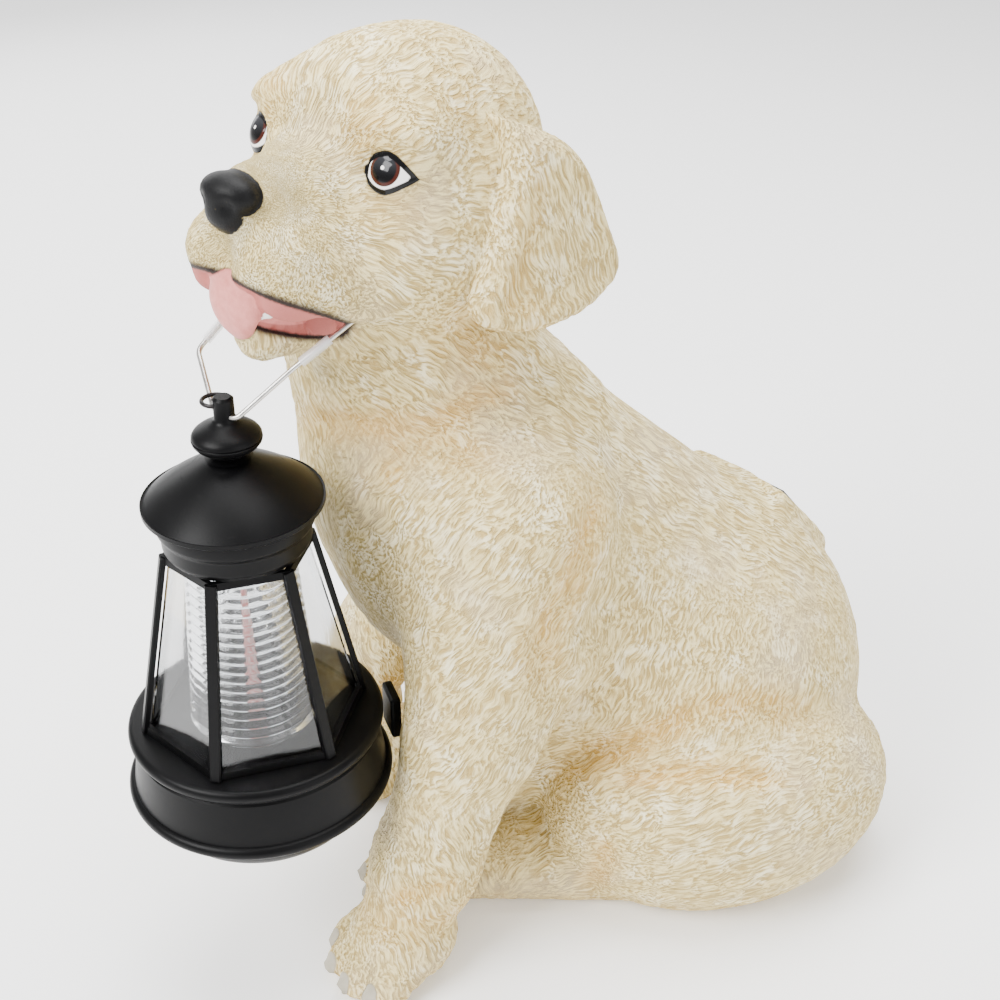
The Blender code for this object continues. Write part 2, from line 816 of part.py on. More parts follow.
class Lantern:
    """Place of the lantern, its switch clear of the foreleg, and heights down from the bail's hole."""

    def __init__(self):
        self.switch_seat = DRUM_RADIUS + BEAD_STEP + DRUM_BEAD + TOUCH_GAP
        reach = self.switch_seat + SWITCH_REACH + LEG_CLEARANCE
        self.x = FORELEG_FRONT[0] * UNIT - cos(SWITCH_ANGLE) * reach
        self.y = FORELEG_FRONT[1] * UNIT - sin(SWITCH_ANGLE) * reach
        self.hole = BAIL_HOLE_HEIGHT * UNIT
        self.stem_top = self.hole + STEM_RADIUS
        self.finial_top = self.stem_top - STEM_HEIGHT
        self.finial_foot = self.finial_top - FINIAL_HEIGHT - FINIAL_SHOULDER
        self.roof_top = self.finial_foot - TOUCH_GAP
        self.roof_rim = self.roof_top - ROOF_RISE
        self.collar_top = self.roof_rim - ROOF_RIM_HEIGHT - TOUCH_GAP
        self.collar_foot = self.collar_top - COLLAR_HEIGHT
        self.cage_top = self.collar_foot - TOUCH_GAP
        self.cage_foot = self.cage_top - CAGE_HEIGHT
        self.deck_top = self.cage_foot - TOUCH_GAP
        self.band_foot = self.deck_top - DRUM_BAND_HEIGHT - 2.0 * DRUM_BEAD

    @property
    def centre(self):
        """The lantern's axis seen from above."""
        return (self.x, self.y)

    @property
    def bail_point(self):
        """Middle of the bail where it passes the stem."""
        return Vector((self.x, self.y, self.hole - STEM_RADIUS * HOLE_LOW_SHARE))

    def room_for_lens(self, height):
        """Radius of the round space inside the flat panes at a height."""
        inner = self.cage_radius(height) - BAR_DEPTH - PANE_SETBACK - PANE_THICKNESS
        return inner * cos(pi / PANE_COUNT)

    def cage_radius(self, height):
        """Corner radius of the six-sided cage at a height."""
        share = (height - self.cage_foot) / CAGE_HEIGHT
        return CAGE_FOOT_RADIUS + share * (CAGE_HEAD_RADIUS - CAGE_FOOT_RADIUS)


def build_drum(lantern, finish):
    """Round drum with two beads and a bowl below, hollow, its deck open in the middle."""
    top = lantern.deck_top
    low = lantern.band_foot
    outer = [(DECK_HOLE_RADIUS, top)]
    outer += arc((DRUM_RADIUS, top - DRUM_BEAD), DRUM_BEAD, 90, -90, 4)
    outer += arc((DRUM_RADIUS + BEAD_STEP, low + DRUM_BEAD), DRUM_BEAD, 90, -90, 4)
    bowl = []
    for step in range(1, 6):
        angle = radians(90.0 * step / 5.0)
        bowl.append(((DRUM_RADIUS - BOWL_STEP) * cos(angle), low - DRUM_BOWL_DEPTH * sin(angle)))
    bowl[-1] = (0.0, low - DRUM_BOWL_DEPTH)
    inner = [(0.0, low - DRUM_BOWL_DEPTH + DRUM_WALL)]
    for step in (1, 2, 3):
        angle = radians(90.0 - 90.0 * step / 4.0)
        inner.append(((DRUM_RADIUS - DRUM_WALL) * cos(angle),
                      low - (DRUM_BOWL_DEPTH - DRUM_WALL) * sin(angle)))
    inner.append((DRUM_RADIUS - DRUM_WALL, low))
    inner.append((DRUM_RADIUS - DRUM_WALL, top - DECK_THICKNESS))
    inner.append((DECK_HOLE_RADIUS, top - DECK_THICKNESS))
    return turned("lantern_drum", outer + bowl + inner, finish, centre=lantern.centre)


def hexagon(lantern, radius, height, reach=0.0):
    """Corners of the cage's hexagon at a height."""
    corners = []
    for side in range(PANE_COUNT):
        angle = 2.0 * pi * side / PANE_COUNT + CAGE_TURN
        corners.append((lantern.x + (radius + reach) * cos(angle),
                        lantern.y + (radius + reach) * sin(angle), height))
    return corners


def loft_rings(bm, rings, closed=True):
    """Faces between successive rings of corners."""
    made = [[bm.verts.new(corner) for corner in ring] for ring in rings]
    pairs = list(zip(made, made[1:]))
    if closed:
        pairs.append((made[-1], made[0]))
    for first, second in pairs:
        for side in range(len(first)):
            after = (side + 1) % len(first)
            bm.faces.new((first[side], first[after], second[after], second[side]))
    return made


def build_cage(lantern, finish):
    """Six leaning bars between a foot ring and a head ring, one moulding."""
    bm = bmesh.new()
    foot, top = lantern.cage_foot, lantern.cage_top
    ring_spans = ((foot, foot + CAGE_RING_HEIGHT), (top - CAGE_RING_HEIGHT, top))
    for low, high in ring_spans:
        rings = []
        for height, inset in ((low, 0.0), (high, 0.0), (high, BAR_DEPTH), (low, BAR_DEPTH)):
            rings.append(hexagon(lantern, lantern.cage_radius(height), height, -inset))
        loft_rings(bm, rings)
    cage = add_object("lantern_cage", mesh_from(bm, "lantern_cage"), finish)
    for side in range(PANE_COUNT):
        angle = 2.0 * pi * side / PANE_COUNT + CAGE_TURN
        out = Vector((cos(angle), sin(angle), 0.0))
        across = Vector((-sin(angle), cos(angle), 0.0)) * (BAR_WIDTH / 2.0)
        rings = []
        sunk = CAGE_RING_HEIGHT / 2.0
        for height in (foot + sunk, top - sunk):
            centre = Vector((lantern.x, lantern.y, height))
            radius = lantern.cage_radius(height)
            face = centre + out * (radius + BAR_PROUD)
            back = centre + out * (radius - BAR_DEPTH * BAR_BACK_SHARE)
            rings.append([face - across, face + across, back + across, back - across])
        bar = bmesh.new()
        ends = loft_rings(bar, rings, closed=False)
        bar.faces.new(ends[0])
        bar.faces.new(ends[1])
        cutter = add_object("bar", mesh_from(bar, "bar"))
        cutter.hide_render = True
        join = cage.modifiers.new("Bar", "BOOLEAN")
        join.operation = "UNION"
        join.solver = "EXACT"
        join.object = cutter
    return cage


def build_panes(lantern, finish):
    """Thin clear six-sided sleeve just inside the bars."""
    bm = bmesh.new()
    rings = []
    inset = BAR_DEPTH + PANE_SETBACK
    low, high = lantern.cage_foot, lantern.cage_top
    for height, deeper in ((low, 0.0), (high, 0.0), (high, PANE_THICKNESS), (low, PANE_THICKNESS)):
        rings.append(hexagon(lantern, lantern.cage_radius(height), height, -inset - deeper))
    loft_rings(bm, rings)
    return add_object("lantern_panes", mesh_from(bm, "lantern_panes"), finish)


def build_lens(lantern, finish):
    """Clear tapering tube with raised rings one above another."""
    foot = lantern.cage_foot
    top = lantern.cage_top - LENS_HEADROOM
    pitch = (top - foot) / LENS_RIB_COUNT
    head_radius = lantern.room_for_lens(top) - LENS_CLEARANCE
    outer = []
    for rib in range(LENS_RIB_COUNT):
        for share, depth in ((0.0, LENS_RIB_DEPTH), (0.5, 0.0)):
            height = foot + pitch * (rib + share)
            taper = (height - foot) / (top - foot)
            radius = LENS_FOOT_RADIUS + taper * (head_radius - LENS_FOOT_RADIUS)
            outer.append((radius - depth, height))
    outer.append((head_radius - LENS_RIB_DEPTH, top))
    wall = LENS_WALL + LENS_RIB_DEPTH
    inner = [(head_radius - wall, top), (LENS_FOOT_RADIUS - wall, foot)]
    return turned("lantern_lens", outer + inner, finish, sides=16, centre=lantern.centre)


def build_collar(lantern, finish):
    """Two-step band under the roof."""
    top, foot = lantern.collar_top, lantern.collar_foot
    step = foot + COLLAR_HEIGHT * COLLAR_STEP_SHARE
    inner = CAGE_HEAD_RADIUS - BAR_DEPTH
    lower = COLLAR_RADIUS - COLLAR_STEP
    profile = [
        (inner, top), (COLLAR_RADIUS, top), (COLLAR_RADIUS, step + COLLAR_EASE),
        (lower, step), (lower, foot + COLLAR_EASE), (lower - COLLAR_EASE, foot), (inner, foot),
    ]
    return turned("lantern_collar", profile, finish, centre=lantern.centre)


def build_roof(lantern, finish):
    """Domed cone with an upright rim, hollow below."""
    rim, top = lantern.roof_rim, lantern.roof_top
    outer = [(0.0, top), (ROOF_NECK_RADIUS, top)]
    for share in (0.25, 0.5, 0.75, 0.92, 1.0):
        radius = ROOF_NECK_RADIUS + share * (ROOF_RADIUS - ROOF_NECK_RADIUS)
        outer.append((radius, top - ROOF_RISE * (0.80 * share + 0.20 * share ** 3)))
    foot = rim - ROOF_RIM_HEIGHT
    inner_radius = ROOF_RADIUS - ROOF_WALL
    outer += [(ROOF_RADIUS, foot + ROOF_EDGE), (ROOF_RADIUS - ROOF_EDGE, foot), (inner_radius, foot)]
    inner = [(inner_radius, rim - ROOF_WALL * 0.6), (ROOF_NECK_RADIUS, top - ROOF_WALL * 1.5),
             (0.0, top - ROOF_WALL * 1.5)]
    return turned("lantern_roof", outer + inner, finish, centre=lantern.centre)


def build_finial(lantern, finish):
    """Onion knob on a short neck, with the stem that the bail passes through."""
    foot, knob_top, top = lantern.finial_foot, lantern.finial_top, lantern.stem_top
    seat = foot + FINIAL_SHOULDER
    middle = seat + FINIAL_HEIGHT * 0.42
    waist = seat - FINIAL_SHOULDER / 2.0
    profile = [(0.0, foot), (ROOF_NECK_RADIUS + NECK_FLARE, foot), (ROOF_NECK_RADIUS - NECK_WAIST, waist)]
    for share in (0.0, 0.4, 0.8):
        radius = ROOF_NECK_RADIUS + (FINIAL_RADIUS - ROOF_NECK_RADIUS) * sin(share * pi / 2.0)
        profile.append((radius, seat + (middle - seat) * share))
    profile += [(FINIAL_RADIUS, middle - FINIAL_SEAM), (FINIAL_RADIUS, middle + FINIAL_SEAM)]
    for share in (0.35, 0.62, 0.84):
        radius = FINIAL_RADIUS * cos(share * pi / 2.0) + STEM_RADIUS * share * 0.5
        profile.append((max(radius, STEM_RADIUS), middle + (knob_top - middle) * share))
    profile += [(STEM_RADIUS, knob_top), (STEM_RADIUS, top - STEM_EDGE)]
    profile += [(STEM_RADIUS - STEM_EDGE, top), (0.0, top)]
    finial = turned("lantern_finial", profile, finish, sides=16, centre=lantern.centre)
    reach = bail_side() * (3.0 * STEM_RADIUS)
    centre = lantern.bail_point
    bore = tube("bail bore", (centre - reach, centre + reach), WIRE_RADIUS + WIRE_CLEARANCE, None)
    subtract(finial, bore)
    ring_radius = RING_WIRE_RADIUS + WIRE_CLEARANCE
    ring_bore = tube("ring bore", ring_path(lantern), ring_radius, None, closed=True)
    subtract(finial, ring_bore)
    return finial


def bail_side():
    """Horizontal direction across the mouth, towards the left."""
    return Vector((cos(HEAD_YAW), sin(HEAD_YAW), 0.0))


def figure_point(figure, local):
    """Real place of a point given in the head's frame."""
    turn = Matrix(figure.turn.tolist())
    return (Vector(HEAD_CENTRE) + turn @ Vector(local)) * UNIT


def bail_corners(figure, lantern):
    """Corners of the wire from the left mouth corner, through the stem, to the right one."""
    side = bail_side()
    hole = lantern.bail_point
    left = figure_point(figure, MOUTH_CORNER)
    right = figure_point(figure, (-MOUTH_CORNER[0], MOUTH_CORNER[1], MOUTH_CORNER[2]))
    middle = (left + right) / 2.0 - hole
    rise = middle - side * middle.dot(side)
    bottom_left = hole + side * BAIL_FOOT_HALF
    bottom_right = hole - side * BAIL_FOOT_HALF
    kink_left = hole + side * BAIL_KINK_LEFT[0] + rise * BAIL_KINK_LEFT[1]
    kink_right = hole - side * BAIL_KINK_RIGHT[0] + rise * BAIL_KINK_RIGHT[1]
    return [left, kink_left, bottom_left, bottom_right, kink_right, right]


def build_bail(figure, lantern, finish):
    """Steel wire bent to hang the lantern from both corners of the mouth."""
    corners = bail_corners(figure, lantern)
    path = rounded_path(corners, BAIL_BEND, steps=3)
    return tube("bail", path, WIRE_RADIUS, finish, sides=6)


def build_socket_cutters(figure, lantern):
    """Blind bores in the mouth corners that take the ends of the bail."""
    corners = bail_corners(figure, lantern)
    cutters = []
    for end, before in ((corners[0], corners[1]), (corners[-1], corners[-2])):
        inward = (end - before).normalized()
        start = end - inward * SOCKET_DEPTH * 2.0
        finish = end + inward * WIRE_CLEARANCE
        cutters.append(tube("socket", (start, finish), WIRE_RADIUS + WIRE_CLEARANCE, None))
    return cutters


def pipe(name, start, end, bore, wall, finish, sides=8):
    """Straight open sleeve between two points."""
    start, end = Vector(start), Vector(end)
    axis = (end - start).normalized()
    first = axis.orthogonal().normalized()
    second = axis.cross(first)
    rings = []
    for point, radius in ((start, bore), (start, bore + wall), (end, bore + wall), (end, bore)):
        ring = []
        for side in range(sides):
            angle = 2.0 * pi * side / sides
            ring.append(point + radius * (cos(angle) * first + sin(angle) * second))
        rings.append(ring)
    bm = bmesh.new()
    loft_rings(bm, rings)
    return add_object(name, mesh_from(bm, name, radians(50)), finish)


def build_sleeves(figure, lantern, finish):
    """Clear sleeves on the upper runs of the bail."""
    corners = bail_corners(figure, lantern)
    bore = WIRE_RADIUS + TOUCH_GAP
    for name, low, high in (("left", corners[1], corners[0]), ("right", corners[-2], corners[-1])):
        run = high - low
        start, end = low + run * SLEEVE_SPAN[0], low + run * SLEEVE_SPAN[1]
        pipe("bail_sleeve_" + name, start, end, bore, SLEEVE_WALL, finish)


def block(name, centre, turn, sizes, bevel, finish):
    """Block with softened edges at a place and turn."""
    bm = bmesh.new()
    bmesh.ops.create_cube(bm, size=1.0)
    bmesh.ops.scale(bm, vec=sizes, verts=bm.verts)
    if bevel > 0.0:
        bmesh.ops.bevel(bm, geom=bm.edges, offset=bevel, segments=2, affect="EDGES", profile=0.5)
    made = add_object(name, mesh_from(bm, name, radians(40)), finish)
    made.matrix_world = Matrix.Translation(centre) @ Matrix(turn).to_4x4()
    return made


def build_switch(lantern, finish):
    """Small housing on the side of the drum that faces the near foreleg."""
    out = Vector((cos(SWITCH_ANGLE), sin(SWITCH_ANGLE), 0.0))
    reach = lantern.switch_seat + SWITCH_REACH / 2.0
    height = lantern.deck_top - DRUM_BEAD - DRUM_BAND_HEIGHT / 2.0
    centre = Vector((lantern.x, lantern.y, height)) + out * reach
    turn = Matrix.Rotation(SWITCH_ANGLE, 3, "Z")
    sizes = (SWITCH_REACH, SWITCH_WIDTH, SWITCH_HEIGHT)
    return block("lantern_switch", centre, turn, sizes, SWITCH_EDGE, finish)


def build_panel(dog, finish):
    """Solar panel set in a pocket of the boss on the back."""
    turn = Matrix(panel_turn().tolist())
    facing = turn.col[2]
    surface = Vector(PANEL_PLACE) * UNIT
    sizes = (PANEL_SIDE, PANEL_SIDE, PANEL_THICKNESS)
    centre = surface + facing * (PANEL_PROUD - PANEL_THICKNESS / 2.0)
    panel = block("solar_panel", centre, turn, sizes, PANEL_EDGE, finish)
    wide = PANEL_SIDE + 2.0 * TOUCH_GAP
    deep = PANEL_THICKNESS + TOUCH_GAP + PANEL_BOSS
    floor = surface + facing * (PANEL_PROUD - PANEL_THICKNESS - TOUCH_GAP)
    pocket = block("pocket", floor + facing * (deep / 2.0), turn, (wide, wide, deep), 0.0, None)
    subtract(dog, pocket)
    return panel


def ring_path(lantern):
    """Points round the small ring, which runs level through the stem above the bail."""
    centre = lantern.bail_point + Vector((0.0, 0.0, RING_BORE_RISE))
    outward = -bail_side()
    through = Vector((0.0, 0.0, 1.0)).cross(outward)
    hub = centre + outward * RING_RADIUS
    points = []
    for step in range(12):
        angle = 2.0 * pi * step / 12
        points.append(hub + RING_RADIUS * (sin(angle) * through - cos(angle) * outward))
    return points


def build_ring(lantern, finish):
    """Small ring of dark wire through the top of the stem."""
    return tube("hanging_ring", ring_path(lantern), RING_WIRE_RADIUS, finish, sides=6, closed=True)


def stand_on_origin():
    """Shift everything so that the box of the whole statue has its bottom centre at the origin."""
    bpy.context.view_layer.update()
    graph = bpy.context.evaluated_depsgraph_get()
    corners = []
    for item in bpy.context.scene.objects:
        if item.hide_render:
            continue
        shown = item.evaluated_get(graph)
        corners += [shown.matrix_world @ Vector(corner) for corner in shown.bound_box]
    corners = np.array([tuple(corner) for corner in corners])
    low, high = corners.min(axis=0), corners.max(axis=0)
    shift = Vector(((low[0] + high[0]) / 2.0, (low[1] + high[1]) / 2.0, low[2]))
    for item in bpy.context.scene.objects:
        item.location -= shift
    bpy.context.view_layer.update()


def main():
    """Build every piece of the statue."""
    clear_scene()
    resin = material("cast resin", (0.80, 0.72, 0.52), 0.75)
    black = material("black plastic", (0.012, 0.012, 0.013), 0.32)
    clear = material("clear plastic", (0.90, 0.92, 0.92), 0.06, transmission=1.0)
    steel = material("steel wire", (0.62, 0.62, 0.60), 0.30, metallic=1.0)
    dark = material("dark wire", (0.05, 0.05, 0.05), 0.40, metallic=1.0)
    cell = material("solar cell", (0.02, 0.03, 0.08), 0.15)
    figure = Figure()
    lantern = Lantern()
    dog = build_dog(figure, resin)
    for cutter in build_socket_cutters(figure, lantern):
        subtract(dog, cutter)
    build_drum(lantern, black)
    build_cage(lantern, black)
    build_panes(lantern, clear)
    build_lens(lantern, clear)
    build_collar(lantern, black)
    build_roof(lantern, black)
    build_finial(lantern, black)
    build_bail(figure, lantern, steel)
    build_ring(lantern, dark)
    build_sleeves(figure, lantern, clear)
    build_switch(lantern, black)
    build_panel(dog, cell)
    stand_on_origin()


main()
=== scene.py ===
"""Looks of the sitting puppy garden statue and of the lantern that it holds.

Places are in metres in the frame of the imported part. The puppy's own forms are in figure
units, of which its height holds FIGURE_UNITS, as they are in the part's source.
"""

import logging
from dataclasses import dataclass, field
from enum import Enum
from math import cos, pi, radians, sin
from typing import Any, Callable, Mapping, Optional, Sequence, Union

import bmesh
import bpy
import numpy as np
from mathutils import Matrix, Vector
from mathutils import noise as grain


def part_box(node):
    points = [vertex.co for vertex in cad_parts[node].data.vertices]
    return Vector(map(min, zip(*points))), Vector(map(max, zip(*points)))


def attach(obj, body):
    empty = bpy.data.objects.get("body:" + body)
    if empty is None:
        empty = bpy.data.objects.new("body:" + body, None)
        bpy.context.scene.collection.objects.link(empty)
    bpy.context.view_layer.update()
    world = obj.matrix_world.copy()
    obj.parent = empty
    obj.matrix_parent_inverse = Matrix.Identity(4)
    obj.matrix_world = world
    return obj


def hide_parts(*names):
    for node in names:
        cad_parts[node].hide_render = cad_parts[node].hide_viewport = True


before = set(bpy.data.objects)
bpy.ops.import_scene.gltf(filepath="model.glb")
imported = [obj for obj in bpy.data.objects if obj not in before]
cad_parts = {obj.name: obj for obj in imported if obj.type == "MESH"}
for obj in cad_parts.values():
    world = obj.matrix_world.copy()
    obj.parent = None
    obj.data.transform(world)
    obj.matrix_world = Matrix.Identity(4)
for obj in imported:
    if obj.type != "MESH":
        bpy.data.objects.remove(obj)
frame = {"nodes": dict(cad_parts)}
LOG = logging.getLogger("puppy")

STATUE_HEIGHT = 0.290
FIGURE_UNITS = 290.0
UNIT = STATUE_HEIGHT / FIGURE_UNITS
MILLIMETRES = 1000.0
MIDLINE = 6.0
HEAD_CENTRE = (6.0, -42.0, 247.0)
HEAD_YAW = radians(36.0)
HEAD_PITCH = radians(10.0)
LANTERN_AXIS = (47.4, -97.4)
BAIL_HOLE_HEIGHT = 201.5
BODY = "root"

# How far the paws and the head reach from their centres, and their fillets to what carries them
FAR = 400.0
PAW_REACH = 34.0
PAW_FILLET = 5.0
HEAD_REACH = 74.0
NECK_FILLET = 8.0
EAR_FILLET = 1.5

Point = Sequence[float]
Profile = list[tuple[float, float]]


def lengths(vectors: np.ndarray) -> np.ndarray:
    """Length of each row."""
    return np.sqrt((vectors * vectors).sum(axis=-1))


def eased(low: float, high: float, value: np.ndarray) -> np.ndarray:
    """Smooth step from 0 at low to 1 at high."""
    share = np.clip((value - low) / (high - low), 0.0, 1.0)
    return share * share * (3.0 - 2.0 * share)


def turn_about(axis: Point, angle: float) -> np.ndarray:
    """3 x 3 turn by an angle about an axis."""
    return np.array(Matrix.Rotation(angle, 3, Vector(axis)))


def paint(red: int, green: int, blue: int) -> tuple[float, float, float, float]:
    """A colour as it is mixed on screen, 0 to 255, turned to linear light.

    Args:
        red, green, blue: the three parts, 0 to 255.

    Returns:
        Linear colour with full alpha.
    """
    parts = [((part / 255.0 + 0.055) / 1.055) ** 2.4 for part in (red, green, blue)]
    return (parts[0], parts[1], parts[2], 1.0)


# Shader expressions

class Sock:
    """An output socket that takes part in Python expressions."""

    def __init__(self, ink: "Ink", socket: bpy.types.NodeSocket) -> None:
        """Keep the material and the socket."""
        self.ink = ink
        self.socket = socket

    def maths(self, operation: str, first: Any, second: Any = 0.0) -> "Sock":
        """One Math node.

        Args:
            operation: the node's operation.
            first, second: its values or links.

        Returns:
            The node's result.
        """
        return self.ink.node("ShaderNodeMath", {"operation": operation}, {0: first, 1: second})

    def __add__(self, other: Any) -> "Sock":
        """Sum."""
        return self.maths("ADD", self, other)

    __radd__ = __add__

    def __sub__(self, other: Any) -> "Sock":
        """Difference."""
        return self.maths("SUBTRACT", self, other)

    def __rsub__(self, other: Any) -> "Sock":
        """Difference, the other way round."""
        return self.maths("SUBTRACT", other, self)

    def __mul__(self, other: Any) -> "Sock":
        """Product."""
        return self.maths("MULTIPLY", self, other)

    __rmul__ = __mul__

    def __truediv__(self, other: Any) -> "Sock":
        """Quotient."""
        return self.maths("DIVIDE", self, other)

    def __pow__(self, other: Any) -> "Sock":
        """Power."""
        return self.maths("POWER", self, other)

    def __abs__(self) -> "Sock":
        """Size without its sign."""
        return self.maths("ABSOLUTE", self)

    def least(self, other: Any) -> "Sock":
        """The smaller of two."""
        return self.maths("MINIMUM", self, other)

    def most(self, other: Any) -> "Sock":
        """The larger of two."""
        return self.maths("MAXIMUM", self, other)

    def wave(self) -> "Sock":
        """Sine."""
        return self.maths("SINE", self)

    def step(self, low: float, high: float) -> "Sock":
        """Smooth step from 0 at low to 1 at high.

        Args:
            low, high: the two ends, in either order.

        Returns:
            The eased value.
        """
        ends = {0: self, 1: low, 2: high, 3: 0.0, 4: 1.0}
        if low > high:
            ends = {0: self, 1: high, 2: low, 3: 1.0, 4: 0.0}
        return self.ink.node("ShaderNodeMapRange", {"interpolation_type": "SMOOTHSTEP"}, ends)


class Ink:
    """A material under construction: its nodes and its main shader."""

    def __init__(self, name: str) -> None:
        """Start a material with its main shader.

        Args:
            name: the material's name.
        """
        self.material = bpy.data.materials.new(name)
        self.material.use_nodes = True
        self.tree = self.material.node_tree
        self.shader = self.tree.nodes["Principled BSDF"]

    def node(self, kind: str, settings: Optional[Mapping[str, Any]] = None,
             inputs: Optional[Mapping[Any, Any]] = None, out: Any = 0) -> Sock:
        """Any node.

        Args:
            kind: the node's type.
            settings: its settings, set first.
            inputs: values or links by socket name or number.
            out: the output wanted.

        Returns:
            That output.
        """
        made = self.tree.nodes.new(kind)
        for key, value in (settings or {}).items():
            setattr(made, key, value)
        for key, value in (inputs or {}).items():
            self.feed(made.inputs[key], value)
        return Sock(self, made.outputs[out])

    def feed(self, socket: bpy.types.NodeSocket, value: Any) -> None:
        """Set or link an input.

        Args:
            socket: the input.
            value: a Sock to link, or a plain value.
        """
        if isinstance(value, Sock):
            self.tree.links.new(value.socket, socket)
        else:
            socket.default_value = value

    def vector(self, operation: str, first: Any, second: Any = (0.0, 0.0, 0.0),
               scale: float = 1.0, out: Any = 0) -> Sock:
        """One Vector Math node.

        Args:
            operation: the node's operation.
            first, second: vectors or links.
            scale: the number that SCALE uses.
            out: 0 for a vector, "Value" for a number.

        Returns:
            The node's result.
        """
        inputs = {0: first, "Scale": scale} if operation == "SCALE" else {0: first, 1: second}
        return self.node("ShaderNodeVectorMath", {"operation": operation}, inputs, out)

    def place(self) -> Sock:
        """Place on the object in millimetres."""
        spot = self.node("ShaderNodeTexCoord", out="Object")
        return self.vector("SCALE", spot, scale=MILLIMETRES)

    def part(self, spot: Sock, axis: Point) -> Sock:
        """How far a place lies along an axis."""
        return self.vector("DOT_PRODUCT", spot, tuple(axis), out="Value")

    def noise(self, spot: Sock, scale: float, detail: float = 2.0, rough: float = 0.5,
              out: str = "Fac") -> Sock:
        """Noise at a place.

        Args:
            spot: the place.
            scale: its fineness per unit of the place.
            detail: octaves.
            rough: weight of the finer octaves.
            out: "Fac" or "Color".

        Returns:
            The noise.
        """
        return self.node("ShaderNodeTexNoise", None,
                         {"Vector": spot, "Scale": scale, "Detail": detail, "Roughness": rough}, out)

    def blend(self, factor: Any, first: Any, second: Any) -> Sock:
        """Mix of two colours.

        Args:
            factor: share of the second.
            first, second: colours or links.

        Returns:
            The mixed colour.
        """
        return self.node("ShaderNodeMix", {"data_type": "RGBA"}, {0: factor, 6: first, 7: second}, 2)

    def stored(self, name: str) -> tuple[Sock, Sock, Sock, Sock]:
        """The four numbers kept at each vertex under a name.

        Args:
            name: the store's name.

        Returns:
            Four sockets.
        """
        kind, settings = "ShaderNodeAttribute", {"attribute_name": name}
        spot = self.node(kind, settings, out="Vector")
        alpha = self.node(kind, settings, out="Alpha")
        first, second, third = (self.node("ShaderNodeSeparateXYZ", None, {0: spot}, axis)
                                for axis in range(3))
        return first, second, third, alpha

    def bump(self, height: Sock, depth_mm: float, strength: float = 1.0) -> Sock:
        """Normal that shows a height.

        Args:
            height: the height, 0 to 1.
            depth_mm: how deep 1 is.
            strength: share of the effect.

        Returns:
            The normal.
        """
        return self.node("ShaderNodeBump", None, {"Height": height, "Distance": depth_mm / MILLIMETRES,
                                                  "Strength": strength})

    def finish(self, **inputs: Any) -> bpy.types.Material:
        """Set the main shader's sockets.

        Args:
            inputs: values or links by socket name, with _ for spaces.

        Returns:
            The finished material.
        """
        for key, value in inputs.items():
            self.feed(self.shader.inputs[key.replace("_", " ")], value)
        return self.material


# Forms of the puppy

def blend_forms(first: np.ndarray, second: np.ndarray, width: float) -> np.ndarray:
    """Union of two distances with a fillet of the given width."""
    mix = np.maximum(width - np.abs(first - second), 0.0) / width
    return np.minimum(first, second) - mix * mix * width / 4.0


def cut_forms(first: np.ndarray, second: np.ndarray, width: float) -> np.ndarray:
    """The first distance with the second taken out of it."""
    mix = np.maximum(width - np.abs(first + second), 0.0) / width
    return np.maximum(first, -second) + mix * mix * width / 4.0


@dataclass(frozen=True)
class Ball:
    """Ellipsoid form."""

    centre: Point
    radii: Point
    soft: float
    turn: Optional[np.ndarray] = None
    hollow: bool = False

    def distance(self, points: np.ndarray) -> np.ndarray:
        """Distance of each point from the form.

        Args:
            points: one row for each point.

        Returns:
            A number for each point.
        """
        local = points - np.array(self.centre)
        if self.turn is not None:
            local = local @ self.turn
        radii = np.array(self.radii)
        reach = lengths(local / radii)
        return reach * (reach - 1.0) / np.maximum(lengths(local / (radii * radii)), 1e-9)

    def seed(self, bm: bmesh.types.BMesh, place: Matrix) -> None:
        """Add a body where the form stands.

        Args:
            bm: the mesh under construction.
            place: where the form's frame stands.
        """
        turn = np.eye(3) if self.turn is None else self.turn
        shape = Matrix(turn.tolist()).to_4x4() @ Matrix.Diagonal((*self.radii, 1.0))
        bmesh.ops.create_icosphere(bm, subdivisions=3, radius=1.0,
                                   matrix=place @ Matrix.Translation(self.centre) @ shape)


@dataclass(frozen=True)
class Limb:
    """Round tapering form between two points."""

    start: Point
    end: Point
    start_radius: float
    end_radius: float
    soft: float
    hollow: bool = False

    def distance(self, points: np.ndarray) -> np.ndarray:
        """Distance of each point from the form.

        Args:
            points: one row for each point.

        Returns:
            A number for each point.
        """
        start = np.array(self.start)
        axis = np.array(self.end) - start
        rel = points - start
        share = np.clip((rel @ axis) / (axis @ axis), 0.0, 1.0)
        away = lengths(rel - share[:, None] * axis)
        return away - (self.start_radius + share * (self.end_radius - self.start_radius))

    def seed(self, bm: bmesh.types.BMesh, place: Matrix) -> None:
        """Add a body where the form stands.

        Args:
            bm: the mesh under construction.
            place: where the form's frame stands.
        """
        own = bmesh.new()
        for centre, radius in ((self.start, self.start_radius), (self.end, self.end_radius)):
            local = Matrix.Translation(centre) @ Matrix.Scale(radius, 4)
            bmesh.ops.create_icosphere(own, subdivisions=2, radius=1.0, matrix=place @ local)
        hull = bmesh.ops.convex_hull(own, input=own.verts)
        spare = [item for item in hull["geom_interior"] if isinstance(item, bmesh.types.BMVert)]
        bmesh.ops.delete(own, geom=spare, context="VERTS")
        bmesh.ops.recalc_face_normals(own, faces=own.faces)
        mesh = bpy.data.meshes.new("seed")
        own.to_mesh(mesh)
        own.free()
        bm.from_mesh(mesh)
        bpy.data.meshes.remove(mesh)


